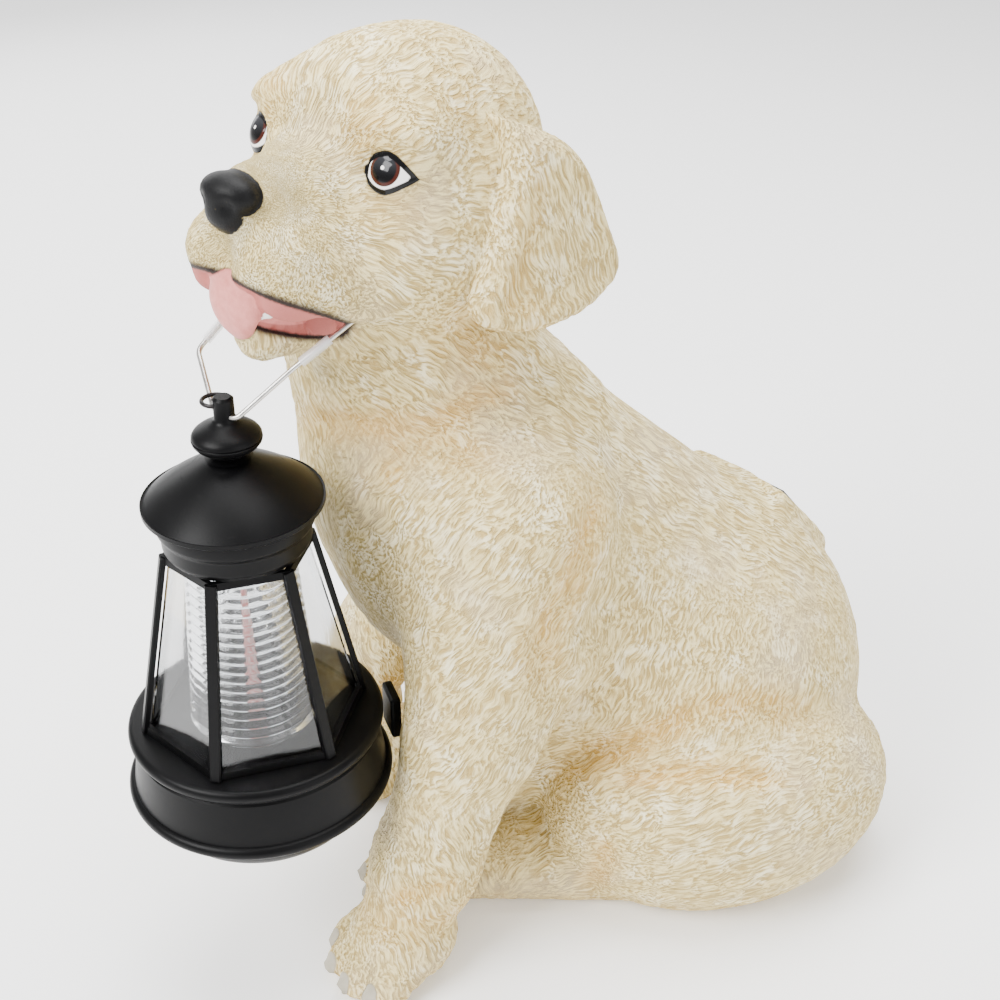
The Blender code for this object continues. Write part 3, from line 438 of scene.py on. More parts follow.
@dataclass(frozen=True)
class Slab:
    """Rounded block form."""

    centre: Point
    half: Point
    turn: np.ndarray
    edge: float
    soft: float
    hollow: bool = False

    def distance(self, points: np.ndarray) -> np.ndarray:
        """Distance of each point from the form."""
        over = np.abs((points - np.array(self.centre)) @ self.turn) - np.array(self.half) + self.edge
        return lengths(np.maximum(over, 0.0)) + np.minimum(over.max(axis=1), 0.0) - self.edge

    def seed(self, bm: bmesh.types.BMesh, place: Matrix) -> None:
        """Add a body where the form stands."""
        shape = Matrix(self.turn.tolist()).to_4x4() @ Matrix.Diagonal((*(2.0 * s for s in self.half), 1.0))
        bmesh.ops.create_cube(bm, size=1.0, matrix=place @ Matrix.Translation(self.centre) @ shape)


Form = Union[Ball, Limb, Slab]


def smooth_curve(knots: Sequence[Point], steps: int = 4) -> np.ndarray:
    """Points on a smooth curve through knots.

    Args:
        knots: the points it passes.
        steps: points made between two knots.

    Returns:
        One row for each point.
    """
    knots = np.array(knots, float)
    padded = np.vstack([2.0 * knots[0] - knots[1], knots, 2.0 * knots[-1] - knots[-2]])
    points = []
    for index in range(len(knots) - 1):
        a, b, c, d = padded[index:index + 4]
        for step in range(steps):
            t = step / steps
            square = (2.0 * a - 5.0 * b + 4.0 * c - d) * t * t
            cube = (3.0 * b - a - 3.0 * c + d) * t ** 3
            points.append(0.5 * (2.0 * b + (c - a) * t + square + cube))
    points.append(knots[-1])
    return np.array(points)


@dataclass(frozen=True)
class Crease:
    """Soft groove along a curve, or a ridge if its depth is negative."""

    knots: Sequence[Point]
    width: float
    depth: float

    def nearness(self, points: np.ndarray) -> np.ndarray:
        """1 on the curve, falling to 0 away from it.

        Args:
            points: one row for each point.

        Returns:
            A number for each point.
        """
        path = smooth_curve(self.knots)
        margin = 2.6 * self.width
        near = ((points > path.min(axis=0) - margin) & (points < path.max(axis=0) + margin)).all(axis=-1)
        result = np.zeros(len(points))
        if not near.any():
            return result
        local = points[near]
        nearest, fade = np.full(len(local), 1e9), np.ones(len(local))
        spans = len(path) - 1
        for index in range(spans):
            start, axis = path[index], path[index + 1] - path[index]
            share = np.clip(((local - start) @ axis) / (axis @ axis), 0.0, 1.0)
            away = lengths(local - start - share[:, None] * axis)
            along = (index + share) / spans
            ends = np.clip(5.0 * np.minimum(along, 1.0 - along) + 0.2, 0.0, 1.0)
            fade = np.where(away < nearest, ends, fade)
            nearest = np.minimum(nearest, away)
        result[near] = fade * np.exp(-((nearest / self.width) ** 2))
        return result


def both_sides(x: float) -> float:
    """The place at the same distance from the midline on the other side."""
    return 2.0 * MIDLINE - x


PANEL_PLACE = (-15.4, 87.6, 113.6)
PANEL_BOSS = 6.0
PANEL_BOSS_HALF = 20.5
PANEL_SEAT_HALF = 17.9
PANEL_SEAT_DEPTH = 2.7
PANEL_SEAT_REACH = 8.0
PANEL_FACING = np.array((-0.36, 0.65, 0.67)) / np.linalg.norm((-0.36, 0.65, 0.67))


def panel_turn() -> np.ndarray:
    """Turn of the solar panel: across, up the back and outwards as columns.

    Returns:
        A 3 x 3 turn.
    """
    across = np.cross((0.0, 0.0, 1.0), PANEL_FACING)
    across /= np.linalg.norm(across)
    return np.stack([across, np.cross(PANEL_FACING, across), PANEL_FACING], axis=1)


EYE_PLACE = np.array((25.6, -31.2, 9.2))
EYE_FACING = np.array((0.30, -0.935, 0.18)) / np.linalg.norm((0.30, -0.935, 0.18))
EYE_BALL = 8.6
EYE_PROUD = 0.9
EYE_INNER, EYE_OUTER, EYE_LID = 6.4, 7.6, 5.3
EAR_RIM = (
    (0, 24), (20, 18), (33, 3), (43.5, -17), (32, -27),
    (5, -32), (-12, -27), (-6, -6), (-1, 12),
)
EAR_MIDDLE = (42.0, 12.0, -5.0)
EAR_REACH = 40.0
EAR_HALF = 3.3
EAR_ROLL = 1.5
EAR_EDGE = 3.0
PAWS = (
    ((69.0, -62.0, 11.2), radians(18.0), 1.0),
    ((-57.0, -61.0, 11.2), radians(-18.0), 1.0),
    ((36.0, -48.0, 10.6), radians(2.0), 0.94),
    ((-24.0, -48.0, 10.6), radians(-2.0), 0.94),
)
NOSE = (Ball((0, -60.4, 0.8), (9.2, 6.4, 5.4), 1.5), Ball((0, -61.4, -4.2), (5.8, 4.8, 4.6), 3))
MOUTH = Ball((0, -49, -30.0), (25, 24, 5.0), 2.0, turn_about((1, 0, 0), radians(-18)), True)
TONGUE = (Ball((0, -46, -31.5), (9.2, 13, 3.2), 1.2, turn_about((1, 0, 0), radians(-14))),
          Ball((0, -57.6, -29.0), (9.0, 3.4, 9.2), 3.5, turn_about((1, 0, 0), radians(12))))
TOOTH = Limb((10.2, -53.5, -24.5), (9.8, -54.0, -30.5), 2.0, 1.2, 0.6)


def seat_panel(points: np.ndarray) -> np.ndarray:
    """Skin pressed down under the solar panel, so that the panel stands free of the hair.

    Args:
        points: places in figure units.

    Returns:
        The places, lowered where the panel lies.
    """
    turn, middle = panel_turn(), np.array(PANEL_PLACE)
    local = (points - middle) @ turn
    under = (np.abs(local[:, :2]).max(axis=1) < PANEL_SEAT_HALF) & (np.abs(local[:, 2]) < PANEL_SEAT_REACH)
    local[under, 2] = np.minimum(local[under, 2], -PANEL_SEAT_DEPTH)
    return local @ turn.T + middle


def eye_turn() -> np.ndarray:
    """Turn of the left eye opening: towards the nose, up and outwards as columns.

    Returns:
        A 3 x 3 turn.
    """
    across = np.cross(EYE_FACING, (0.0, 0.0, 1.0))
    across /= np.linalg.norm(across)
    return np.stack([across, np.cross(across, EYE_FACING), EYE_FACING], axis=1)


def body_forms() -> list[Form]:
    """Trunk, shoulders, legs, haunches, tail and the boss under the panel.

    Returns:
        The forms in the order in which they join.
    """
    forms: list[Form] = [
        Ball((6, 57, 62), (60, 59, 62), 1),
        Limb((5, 40, 86), (4, -12, 140), 53, 46, 20),
        Ball((4, -26, 134), (46, 43, 54), 16),
        Ball((5, -4, 60), (40, 42, 52), 16),
        Limb((2, -32, 162), (5, -48, 218), 43, 33, 20),
    ]
    for side in (1, -1):
        def spot(x: float, y: float, z: float) -> tuple[float, float, float]:
            """A place on this side."""
            return (x if side > 0 else both_sides(x), y, z)
        forms += [
            Limb(spot(38, -18, 148), spot(58, -33, 84), 34, 20, 10),
            Limb(spot(58, -33, 84), spot(65, -49, 42), 19.5, 16.5, 8),
            Limb(spot(65, -49, 42), spot(68, -58, 17), 16.5, 15, 8),
            Limb(spot(53, -5, 108), spot(59, -27, 88), 14, 14, 8),
            Ball(spot(45, 55, 36), (39, 61, 45), 4),
            Limb(spot(45, 16, 14), spot(38, -40, 14), 18, 14, 4),
        ]
    turn = panel_turn()
    centre = np.array(PANEL_PLACE) - turn[:, 2] * PANEL_BOSS
    forms.append(Limb((12, 106, 18), (38, 110, 20), 15, 10, 8))
    forms.append(Slab(tuple(centre), (PANEL_BOSS_HALF, PANEL_BOSS_HALF, PANEL_BOSS), turn, 2.0, 6.0))
    return forms


def toe_spots() -> list[tuple[float, float]]:
    """Places of a paw's four toes."""
    return [(-13.0, -8.5), (-4.7, -14.0), (4.7, -14.0), (13.0, -8.5)]


def claw_forms() -> list[Limb]:
    """A paw's four claws."""
    return [Limb((1.02 * x, y - 4.5, -3.5), (1.08 * x, y - 8.5, -6.5), 2.7, 1.7, 0.8)
            for x, y in toe_spots()]


def paw_forms() -> list[Form]:
    """One paw about its own centre, toes towards -Y.

    Returns:
        The forms in the order in which they join.
    """
    toes = [Limb((0.85 * x, y + 11, 1.5), (x, y, -5.0), 7.2, 6.8, 1.6) for x, y in toe_spots()]
    forms: list[Form] = [Ball((0, 4, 1), (17, 18, 13), 1)]
    for toe, claw in zip(toes, claw_forms()):
        forms += [toe, claw]
    return forms


def head_forms() -> list[Form]:
    """Left half of the head in its own frame.

    Returns:
        The forms in the order in which they join.
    """
    return [
        Ball((0, 6, 6), (36, 38, 36.5), 1),
        Ball((0, -14, 22), (24, 18, 14), 12),
        Ball((20.5, -22, 17), (13.5, 11.5, 9), 9),
        Ball((20, -12, -14), (19.5, 24, 22), 16),
        Limb((0, -16, -6), (0, -44, -9), 24, 14, 14),
        Limb((0, -20, 3), (0, -52.5, -1), 13, 9, 8),
        Ball((10, -46.5, -16.5), (12.8, 17, 12.5), 7),
        Ball((15.5, -35, -23.5), (9.5, 16, 9.5), 8),
        Limb((0, -8, -28), (0, -47, -38.5), 17, 7.8, 5),
        MOUTH,
        Ball((13.5, -47, -24.5), (7, 12, 6.5), 3),
        *TONGUE,
        TOOTH,
        Ball(tuple(EYE_PLACE + EYE_FACING), (7.6, 6.0, 4.4), 3, eye_turn(), True),
        Ball(tuple(EYE_PLACE - EYE_FACING * (EYE_BALL - EYE_PROUD)), (EYE_BALL,) * 3, 0.5),
        *NOSE,
        Ball((5.0, -67.2, -1.6), (1.9, 3.2, 1.9), 1.2, hollow=True),
    ]


SIDE_FOLDS = (
    (((50, 8, 167), (65, 1, 156), (68, -4, 141), (72, -13, 128), (70, -9, 107)), 4.6, 3.0),
    (((45, -7, 54), (53, 8, 63), (59, 22, 73), (63, 35, 83),
      (64, 50, 87), (63, 67, 82), (60, 85, 72)), 3.8, 3.0),
    (((58, 10, 57), (65, 24, 63), (69, 39, 65), (72, 53, 64), (74, 68, 60)), 3.2, 2.4),
    (((70, 9, 43), (69, 8, 31), (61, 6, 10)), 3.0, 2.4),
    (((78, -64, 37), (81, -57, 43), (83, -49, 46), (82, -41, 45)), 2.6, 1.8),
)
HEAD_FOLDS = (
    Crease(((0, -65, -9), (0, -62.5, -15), (0, -60, -23)), 1.3, 1.5),
    Crease(((0, -62, -27), (0, -61.5, -33), (0, -60, -38)), 1.5, 0.9),
    Crease(((13, -34, 14), (20, -34, 17.5), (28, -30, 17), (34, -23, 12)), 1.8, 1.3),
    Crease(((15, -37, 3), (22, -36, -1.5), (30, -29, 1)), 1.8, 0.8),
)


def fold_list() -> list[Crease]:
    """Every fold of the body, both sides.

    Returns:
        The folds.
    """
    folds = [
        Crease(((52, -22, 176), (40, -52, 186), (16, -80, 176), (0, -80, 170)), 4.0, 2.2),
        Crease(((40, -62, 166), (42, -50, 176), (42, -40, 184), (41, -29, 191), (32, -12, 194)), 3.4, 2.2),
    ]
    for knots, width, depth in SIDE_FOLDS:
        folds.append(Crease(knots, width, depth))
        folds.append(Crease([(both_sides(x), y, z) for x, y, z in knots], width, depth))
    return folds


def ear_leaf(back: np.ndarray, up: np.ndarray) -> np.ndarray:
    """How far out from the head's middle the leaf of an ear hangs.

    Args:
        back, up: places in the ear's plane.

    Returns:
        The distance from the midline.
    """
    bow = 3.0 * np.sin(np.clip((back + 12.0) / 50.0, 0.0, 1.0) * pi)
    leaf = 36.8 + 0.16 * (14.0 - up) + 0.10 * (back + 12.0) + bow
    return leaf - 5.0 * np.clip((up - 8.0) / 14.0, 0.0, 1.0) ** 2


def rim_distance(back: np.ndarray, up: np.ndarray) -> np.ndarray:
    """Signed distance in the ear's plane to its smooth closed rim.

    Args:
        back, up: places in the ear's plane.

    Returns:
        The distances, negative inside the rim.
    """
    rim = smooth_curve(EAR_RIM + EAR_RIM[:1])
    squared, inside = np.full(back.shape, 1e9), np.zeros(back.shape, bool)
    for start, end in zip(rim[:-1], rim[1:]):
        run = end - start
        from_back, from_up = back - start[0], up - start[1]
        share = np.clip((from_back * run[0] + from_up * run[1]) / (run @ run), 0.0, 1.0)
        squared = np.minimum(squared, (from_back - share * run[0]) ** 2 + (from_up - share * run[1]) ** 2)
        crossed = (start[1] > up) != (end[1] > up)
        reach = (up - start[1]) / np.where(run[1] == 0.0, 1e-9, run[1]) * run[0] + start[0]
        inside ^= crossed & (back < reach)
    away = np.sqrt(squared)
    return np.where(inside, -away, away)


def ear_distance(half: np.ndarray) -> np.ndarray:
    """Distance to the hanging ear, for points of the left half of the head.

    Args:
        half: places in the head's frame, folded onto its left half.

    Returns:
        A number for each point.
    """
    result = lengths(half - np.array(EAR_MIDDLE)) - EAR_REACH
    near = result < 8.0
    result[~near] += 1.0
    if near.any():
        local = half[near]
        back, up = local[:, 1], local[:, 2]
        edge = rim_distance(back, up)
        thick = EAR_HALF + EAR_ROLL * np.exp(-(((edge + 4.5) / 2.8) ** 2))
        across = np.abs(local[:, 0] - ear_leaf(back, up)) * 0.97
        outer_u, outer_w = edge + EAR_EDGE, across - thick + EAR_EDGE
        corner = np.hypot(np.maximum(outer_u, 0.0), np.maximum(outer_w, 0.0))
        result[near] = 0.9 * (corner - EAR_EDGE + np.minimum(np.maximum(outer_u, outer_w), 0.0))
    return result


def sum_forms(forms: Sequence[Form], points: np.ndarray) -> np.ndarray:
    """Blend a list of forms in its order.

    Args:
        forms: the forms.
        points: places in the forms' frame.

    Returns:
        A number for each point.
    """
    result = np.full(len(points), FAR)
    for form in forms:
        join = cut_forms if form.hollow else blend_forms
        result = join(result, form.distance(points), form.soft)
    return result


class Figure:
    """The whole puppy as one distance, negative inside, in figure units."""

    def __init__(self) -> None:
        """Gather the forms, the folds and the head's turn."""
        self.body, self.paw, self.head = body_forms(), paw_forms(), head_forms()
        self.folds = fold_list()
        self.turn = turn_about((0, 0, 1), HEAD_YAW) @ turn_about((1, 0, 0), -HEAD_PITCH)

    def head_half(self, points: np.ndarray) -> np.ndarray:
        """Points in the head's frame, folded onto its left half.

        Args:
            points: places in figure units.

        Returns:
            The folded places.
        """
        half = (points - np.array(HEAD_CENTRE)) @ self.turn
        half[:, 0] = np.abs(half[:, 0])
        return half

    def in_paw(self, points: np.ndarray, index: int) -> np.ndarray:
        """Points in the frame of one paw."""
        centre, heading, size = PAWS[index]
        return (points - np.array(centre)) @ turn_about((0, 0, 1), heading) / size

    def distance(self, points: np.ndarray) -> np.ndarray:
        """Distance from each point to the puppy's skin.

        Args:
            points: places in figure units.

        Returns:
            A number for each point.
        """
        result = sum_forms(self.body, points)
        for index, paw in enumerate(PAWS):
            local = self.in_paw(points, index)
            near = lengths(local) < PAW_REACH
            if near.any():
                own = sum_forms(self.paw, local[near]) * paw[2]
                result[near] = blend_forms(result[near], own, PAW_FILLET)
        half = self.head_half(points)
        near = lengths(half) < HEAD_REACH
        if near.any():
            close = half[near]
            own = blend_forms(result[near], sum_forms(self.head, close), NECK_FILLET)
            own = blend_forms(own, ear_distance(close), EAR_FILLET)
            for fold in HEAD_FOLDS:
                own = own + fold.depth * fold.nearness(close)
            result[near] = own
        for fold in self.folds:
            result = result + fold.depth * fold.nearness(points)
        return result

    def settle(self, points: np.ndarray, rounds: int) -> np.ndarray:
        """Move points along the slope of the distance until they lie on the skin.

        Args:
            points: one row for each point.
            rounds: how many moves are made.

        Returns:
            The moved points.
        """
        step, gentlest, longest = 0.35, 0.16, 3.0
        for _ in range(rounds):
            here = self.distance(points)
            slope = np.stack([(self.distance(points + np.eye(3)[axis] * step) - here) / step
                              for axis in range(3)], axis=1)
            steep = np.maximum((slope * slope).sum(axis=1), gentlest)
            points = points - slope * np.clip(here / steep, -longest, longest)[:, None]
        return points


# Mesh helpers

def points_of(mesh: bpy.types.Mesh) -> np.ndarray:
    """Vertex places, one row each.

    Args:
        mesh: the mesh.

    Returns:
        The places.
    """
    flat = np.empty(len(mesh.vertices) * 3)
    mesh.vertices.foreach_get("co", flat)
    return flat.reshape(-1, 3)


def put_points(mesh: bpy.types.Mesh, points: np.ndarray) -> None:
    """Move a mesh's vertices to new places."""
    mesh.vertices.foreach_set("co", points.ravel())
    mesh.update()


def normals_of(mesh: bpy.types.Mesh) -> np.ndarray:
    """Vertex normals, one row each.

    Args:
        mesh: the mesh.

    Returns:
        The normals.
    """
    flat = np.empty(len(mesh.vertices) * 3)
    mesh.vertex_normals.foreach_get("vector", flat)
    return flat.reshape(-1, 3)


def link(name: str, mesh: bpy.types.Mesh) -> bpy.types.Object:
    """An object of a mesh in the scene.

    Args:
        name: the object's name.
        mesh: its mesh.

    Returns:
        The object.
    """
    made = bpy.data.objects.new(name, mesh)
    bpy.context.scene.collection.objects.link(made)
    return made


def with_modifier(mesh: bpy.types.Mesh, kind: str, prepare: Optional[Callable] = None,
                  **settings: Any) -> bpy.types.Mesh:
    """A mesh with one modifier applied.

    Args:
        mesh: the mesh to start from.
        kind: the modifier's type.
        prepare: called with the holder before the modifier is added.
        settings: the modifier's settings.

    Returns:
        The new mesh.
    """
    holder = link("holder", mesh)
    if prepare is not None:
        prepare(holder)
    added = holder.modifiers.new("Step", kind)
    for key, value in settings.items():
        setattr(added, key, value)
    bpy.context.view_layer.update()
    graph = bpy.context.evaluated_depsgraph_get()
    made = bpy.data.meshes.new_from_object(holder.evaluated_get(graph))
    bpy.data.objects.remove(holder, do_unlink=True)
    return made


def mesh_of(bm: bmesh.types.BMesh, name: str, angle: float = 40.0) -> bpy.types.Mesh:
    """Mesh of a bmesh, smooth below an angle in degrees.

    Args:
        bm: the mesh under construction, freed here.
        name: the new mesh's name.
        angle: edges bent by more than this stay sharp.

    Returns:
        The mesh.
    """
    bmesh.ops.recalc_face_normals(bm, faces=bm.faces)
    mesh = bpy.data.meshes.new(name)
    bm.to_mesh(mesh)
    bm.free()
    mesh.shade_smooth()
    mesh.set_sharp_from_angle(angle=radians(angle))
    return mesh


def add_piece(name: str, mesh: bpy.types.Mesh, finish: bpy.types.Material, slot: str,
              *replaced: str) -> bpy.types.Object:
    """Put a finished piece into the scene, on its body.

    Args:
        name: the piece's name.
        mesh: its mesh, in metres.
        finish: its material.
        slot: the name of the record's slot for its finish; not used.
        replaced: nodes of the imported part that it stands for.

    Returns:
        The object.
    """
    mesh.materials.clear()
    mesh.materials.append(finish)
    made = link(name, mesh)
    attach(made, BODY)
    if replaced:
        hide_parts(*replaced)
    LOG.info("%s: %d faces", name, len(mesh.polygons))
    return made


def loft(bm: bmesh.types.BMesh, rings: Sequence[Sequence[Point]], closed: bool) -> list[list]:
    """Faces between successive rings of corners.

    Args:
        bm: the mesh under construction.
        rings: corners of each ring, the same number in each.
        closed: whether the last ring joins the first.

    Returns:
        The vertices of each ring.
    """
    made = [[bm.verts.new(corner) for corner in ring] for ring in rings]
    for first, second in list(zip(made, made[1:])) + ([(made[-1], made[0])] if closed else []):
        for side in range(len(first)):
            after = (side + 1) % len(first)
            bm.faces.new((first[side], first[after], second[after], second[side]))
    return made


def turned(name: str, profile: Profile, centre: Vector, sides: int = 112) -> bpy.types.Mesh:
    """Body of revolution about a vertical axis.

    Args:
        name: the mesh's name.
        profile: closed outline of (radius, height).
        centre: a point on the axis.
        sides: how many steps the circle has.

    Returns:
        The mesh.
    """
    bm = bmesh.new()
    rings = []
    for radius, height in profile:
        count = 1 if radius < 1e-6 else sides
        rings.append([bm.verts.new((centre.x + radius * cos(2.0 * pi * k / sides),
                                    centre.y + radius * sin(2.0 * pi * k / sides), height))
                      for k in range(count)])
    for first, second in zip(rings, rings[1:] + rings[:1]):
        for side in range(sides):
            after = (side + 1) % sides
            corners = [first[0] if len(first) == 1 else first[side]]
            if len(first) > 1:
                corners.append(first[after])
            if len(second) > 1:
                corners.append(second[after])
            corners.append(second[0] if len(second) == 1 else second[side])
            if len(corners) > 2:
                bm.faces.new(corners)
    return mesh_of(bm, name)


def rounded(profile: Profile, radius: float, steps: int = 3) -> Profile:
    """A closed outline with its corners turned by small curves.

    Args:
        profile: the outline.
        radius: how far from each corner its curve starts.
        steps: points of each curve.

    Returns:
        The eased outline; points on the axis stay.
    """
    result: Profile = []
    count = len(profile)
    for index, here in enumerate(profile):
        before, after = profile[index - 1], profile[(index + 1) % count]
        point, back, ahead = Vector(here), Vector(before) - Vector(here), Vector(after) - Vector(here)
        reach = min(radius, back.length * 0.45, ahead.length * 0.45)
        if here[0] < 1e-6 or back.angle(-ahead, 0.0) < radians(12):
            result.append(here)
            continue
        for step in range(steps + 1):
            t = step / steps
            spot = point + back.normalized() * reach * (1 - t) ** 2 + ahead.normalized() * reach * t ** 2
            result.append((max(spot.x, 0.0), spot.y))
    return result


def tube(name: str, points: Sequence[Vector], radius: float, sides: int = 16,
         closed: bool = False) -> bpy.types.Mesh:
    """Round wire along points.

    Args:
        name: the mesh's name.
        points: the line that it follows.
        radius: the wire's.
        sides: how many steps its circle has.
        closed: whether the line is a loop.

    Returns:
        The mesh.
    """
    bm = bmesh.new()
    count, normal, rings = len(points), None, []
    for index, point in enumerate(points):
        after = points[(index + 1) % count] if closed else points[min(index + 1, count - 1)]
        before = points[index - 1] if closed else points[max(index - 1, 0)]
        ahead = (after - before).normalized()
        normal = ahead.orthogonal() if normal is None else normal
        normal = (normal - ahead * normal.dot(ahead)).normalized()
        second = ahead.cross(normal)
        rings.append([point + radius * (cos(2 * pi * k / sides) * normal + sin(2 * pi * k / sides) * second)
                      for k in range(sides)])
    made = loft(bm, rings, closed)
    if not closed:
        bm.faces.new(made[0])
        bm.faces.new(made[-1])
    return mesh_of(bm, name, 50)


def arc(centre: Point, radius: float, start: float, end: float, steps: int) -> Profile:
    """Points of an arc in the profile's plane, angles in degrees."""
    angles = [radians(start + (end - start) * step / steps) for step in range(steps + 1)]
    return [(centre[0] + radius * cos(a), centre[1] + radius * sin(a)) for a in angles]


# The fur

class Coat(Enum):
    """Regions of the coat, each with the way its strands lie; the number is its place in the store."""

    EAR = 0
    SHOULDER = 1
    FLANK = 2
    BACK = 3
    HAUNCH = 4
    LEG = 5
    HEAD = 6


def lie(region: Coat, turn: np.ndarray) -> np.ndarray:
    """Direction of the strands of a region; the head's spread from the nose instead.

    Args:
        region: the region.
        turn: the head's turn.

    Returns:
        A unit vector.
    """
    ways = {
        Coat.EAR: turn @ np.array((0.0, 0.38, -0.92)),
        Coat.SHOULDER: (0.10, 0.62, 0.78),
        Coat.FLANK: (0.05, 0.30, 0.95),
        Coat.BACK: (0.0, 0.78, -0.62),
        Coat.HAUNCH: (0.0, 0.95, 0.30),
        Coat.LEG: (-0.1, -0.30, 0.95),
        Coat.HEAD: (0.0, 1.0, 0.0),
    }
    way = np.array(ways[region], float)
    return way / np.linalg.norm(way)


def across_of(way: np.ndarray) -> tuple[np.ndarray, np.ndarray]:
    """Two directions square to a direction and to each other.

    Args:
        way: the direction.

    Returns:
        Two unit vectors.
    """
    first = np.cross(way, (0.0, 0.0, 1.0) if abs(way[2]) < 0.9 else (1.0, 0.0, 0.0))
    first /= np.linalg.norm(first)
    return first, np.cross(way, first)


# Where the face's strands spread from, in the head's frame
NOSE_ROOT = (0.0, -50.0, -2.0)

# Ochre painted shade in hollows of the head, above and below the eye and about the ear: place, size and strength
OCHRE_SHADE_SPOTS = (
    ((19, -32, 19), 9.0, 0.7),
    ((26, -30, 1), 8.0, 0.5),
    ((40, 4, -38), 16.0, 0.8),
    ((30, -10, 26), 10.0, 0.25),
)


@dataclass
class Puppy:
    """The casting: its skin, its coat and its paint."""

    shift: Vector
    coarse_voxel: float = 3.2
    fine_voxel: float = 1.2
    triangles: int = 190000
    fine_head: float = 50.0
    fine_paw: float = 26.0
    fine_share: float = 0.25
    fine_fade: float = 50.0
    tuft_depth: float = 0.55
    tuft_length: float = 13.0
    tuft_width: float = 3.4
    tuft_sway: float = 1.3
    face_spread: float = 13.0
    face_run: float = 16.0
    figure: Figure = field(default_factory=Figure)

    def seeds(self) -> bpy.types.Mesh:
        """Overlapping bodies for every form that adds material.

        Returns:
            The mesh, in figure units.
        """
        bm = bmesh.new()
        head = Matrix.Translation(HEAD_CENTRE) @ Matrix(self.figure.turn.tolist()).to_4x4()
        mirror = Matrix.Diagonal((-1.0, 1.0, 1.0, 1.0))
        places = [(self.figure.body, Matrix.Identity(4)), (self.figure.head, head),
                  (self.figure.head, head @ mirror)]
        for centre, heading, size in PAWS:
            places.append((self.figure.paw, Matrix.Translation(centre)
                           @ Matrix.Rotation(heading, 4, "Z") @ Matrix.Scale(size, 4)))
        for forms, place in places:
            for form in forms:
                if not form.hollow:
                    form.seed(bm, place)
        rim = smooth_curve(EAR_RIM + EAR_RIM[:1])[:-1] * 0.93
        for side in (1.0, -1.0):
            rings = [[head @ Vector((side * (float(ear_leaf(back, up)) + out), back, up))
                      for back, up in rim] for out in (-2.4, 2.4)]
            made = loft(bm, rings, False)
            bm.faces.new(made[0][::-1])
            bm.faces.new(made[1])
        return mesh_of(bm, "seeds")

    def weights(self, points: np.ndarray) -> np.ndarray:
        """Share of each region of the coat at each point.

        Args:
            points: places in figure units.

        Returns:
            One row for each point, one column for each region.
        """
        half = self.figure.head_half(points)
        side = np.abs(points[:, 0] - MIDLINE)
        y, z = points[:, 1], points[:, 2]
        shares = np.zeros((len(points), len(Coat)))
        left = np.ones(len(points))

        def take(region: Coat, share: np.ndarray) -> None:
            """Give a region its share of what is left.

            Args:
                region: the region.
                share: its share of what is left, at each point.
            """
            nonlocal left
            shares[:, region.value] = left * share
            left = left * (1.0 - share)

        close = lengths(half) < 80.0
        on_ear, on_head = np.zeros(len(points)), np.zeros(len(points))
        on_ear[close] = 1.0 - eased(0.4, 2.2, ear_distance(half[close]))
        on_head[close] = 1.0 - eased(1.0, 7.0, sum_forms(self.figure.head, half[close]))
        take(Coat.EAR, on_ear)
        take(Coat.HEAD, on_head)
        take(Coat.LEG, np.maximum((1.0 - eased(60, 84, z)) * (1.0 - eased(-30, -16, y)),
                                  (1.0 - eased(14, 30, side)) * (1.0 - eased(-60, -40, y))))
        take(Coat.HAUNCH, (1.0 - eased(62, 84, z)) * eased(-22, -6, y))
        take(Coat.BACK, eased(126, 168, z + 0.55 * y) * (1.0 - eased(34, 58, side)))
        take(Coat.FLANK, eased(-12, 14, y))
        take(Coat.SHOULDER, np.ones(len(points)))
        return shares

    def tufts(self, points: np.ndarray, shares: np.ndarray) -> np.ndarray:
        """Height of the modelled tufts at each point, -1 to 0.

        Args:
            points: places in figure units.
            shares: the regions' shares there.

        Returns:
            One number for each point.
        """
        height = np.zeros(len(points))
        nose = np.array(HEAD_CENTRE) + self.figure.turn @ np.array(NOSE_ROOT)
        sway = np.stack([np.sin(points @ np.array(way) / 7.0 + turn)
                         for way, turn in (((0.3, 0.9, 0.5), 0.0), ((0.8, -0.2, 0.6), 1.7),
                                           ((0.5, 0.5, -0.7), 3.1))], axis=1) * self.tuft_sway
        for region in Coat:
            own = shares[:, region.value]
            near = np.nonzero(own > 0.03)[0]
            spots = points[near] + sway[near]
            if region is Coat.HEAD:
                rel = spots - nose
                away = lengths(rel)
                coords = rel / away[:, None] * self.face_spread
                coords[:, 0] += away / self.face_run
            else:
                way = lie(region, self.figure.turn)
                first, second = across_of(way)
                coords = np.stack([spots @ way / self.tuft_length, spots @ first / self.tuft_width,
                                   spots @ second / self.tuft_width], axis=1)
            values = np.array([grain.noise(Vector(spot)) for spot in coords])
            height[near] += own[near] * (np.minimum(np.abs(values) * 2.4, 1.0) - 1.0)
        return height

    def skin(self) -> bpy.types.Mesh:
        """Fine closed skin of the puppy in figure units.

        Returns:
            The mesh.
        """
        figure = self.figure
        mesh = with_modifier(self.seeds(), "REMESH", mode="VOXEL", voxel_size=self.coarse_voxel)
        put_points(mesh, figure.settle(points_of(mesh), 4))
        mesh = with_modifier(mesh, "REMESH", mode="VOXEL", voxel_size=self.fine_voxel)
        put_points(mesh, figure.settle(points_of(mesh), 2))
        points = points_of(mesh)
        away = lengths(points - np.array(HEAD_CENTRE)) - self.fine_head
        for centre, _, size in PAWS:
            away = np.minimum(away, lengths(points - np.array(centre)) - self.fine_paw * size)
        plain = np.round(np.clip(self.fine_share + away / self.fine_fade, self.fine_share, 1.0), 2)

        def prepare(holder: bpy.types.Object) -> None:
            """Mark where faces may be joined.

            Args:
                holder: the object that carries the mesh.
            """
            group = holder.vertex_groups.new(name="plain")
            for level in np.unique(plain):
                group.add(np.nonzero(plain == level)[0].tolist(), float(level), "REPLACE")

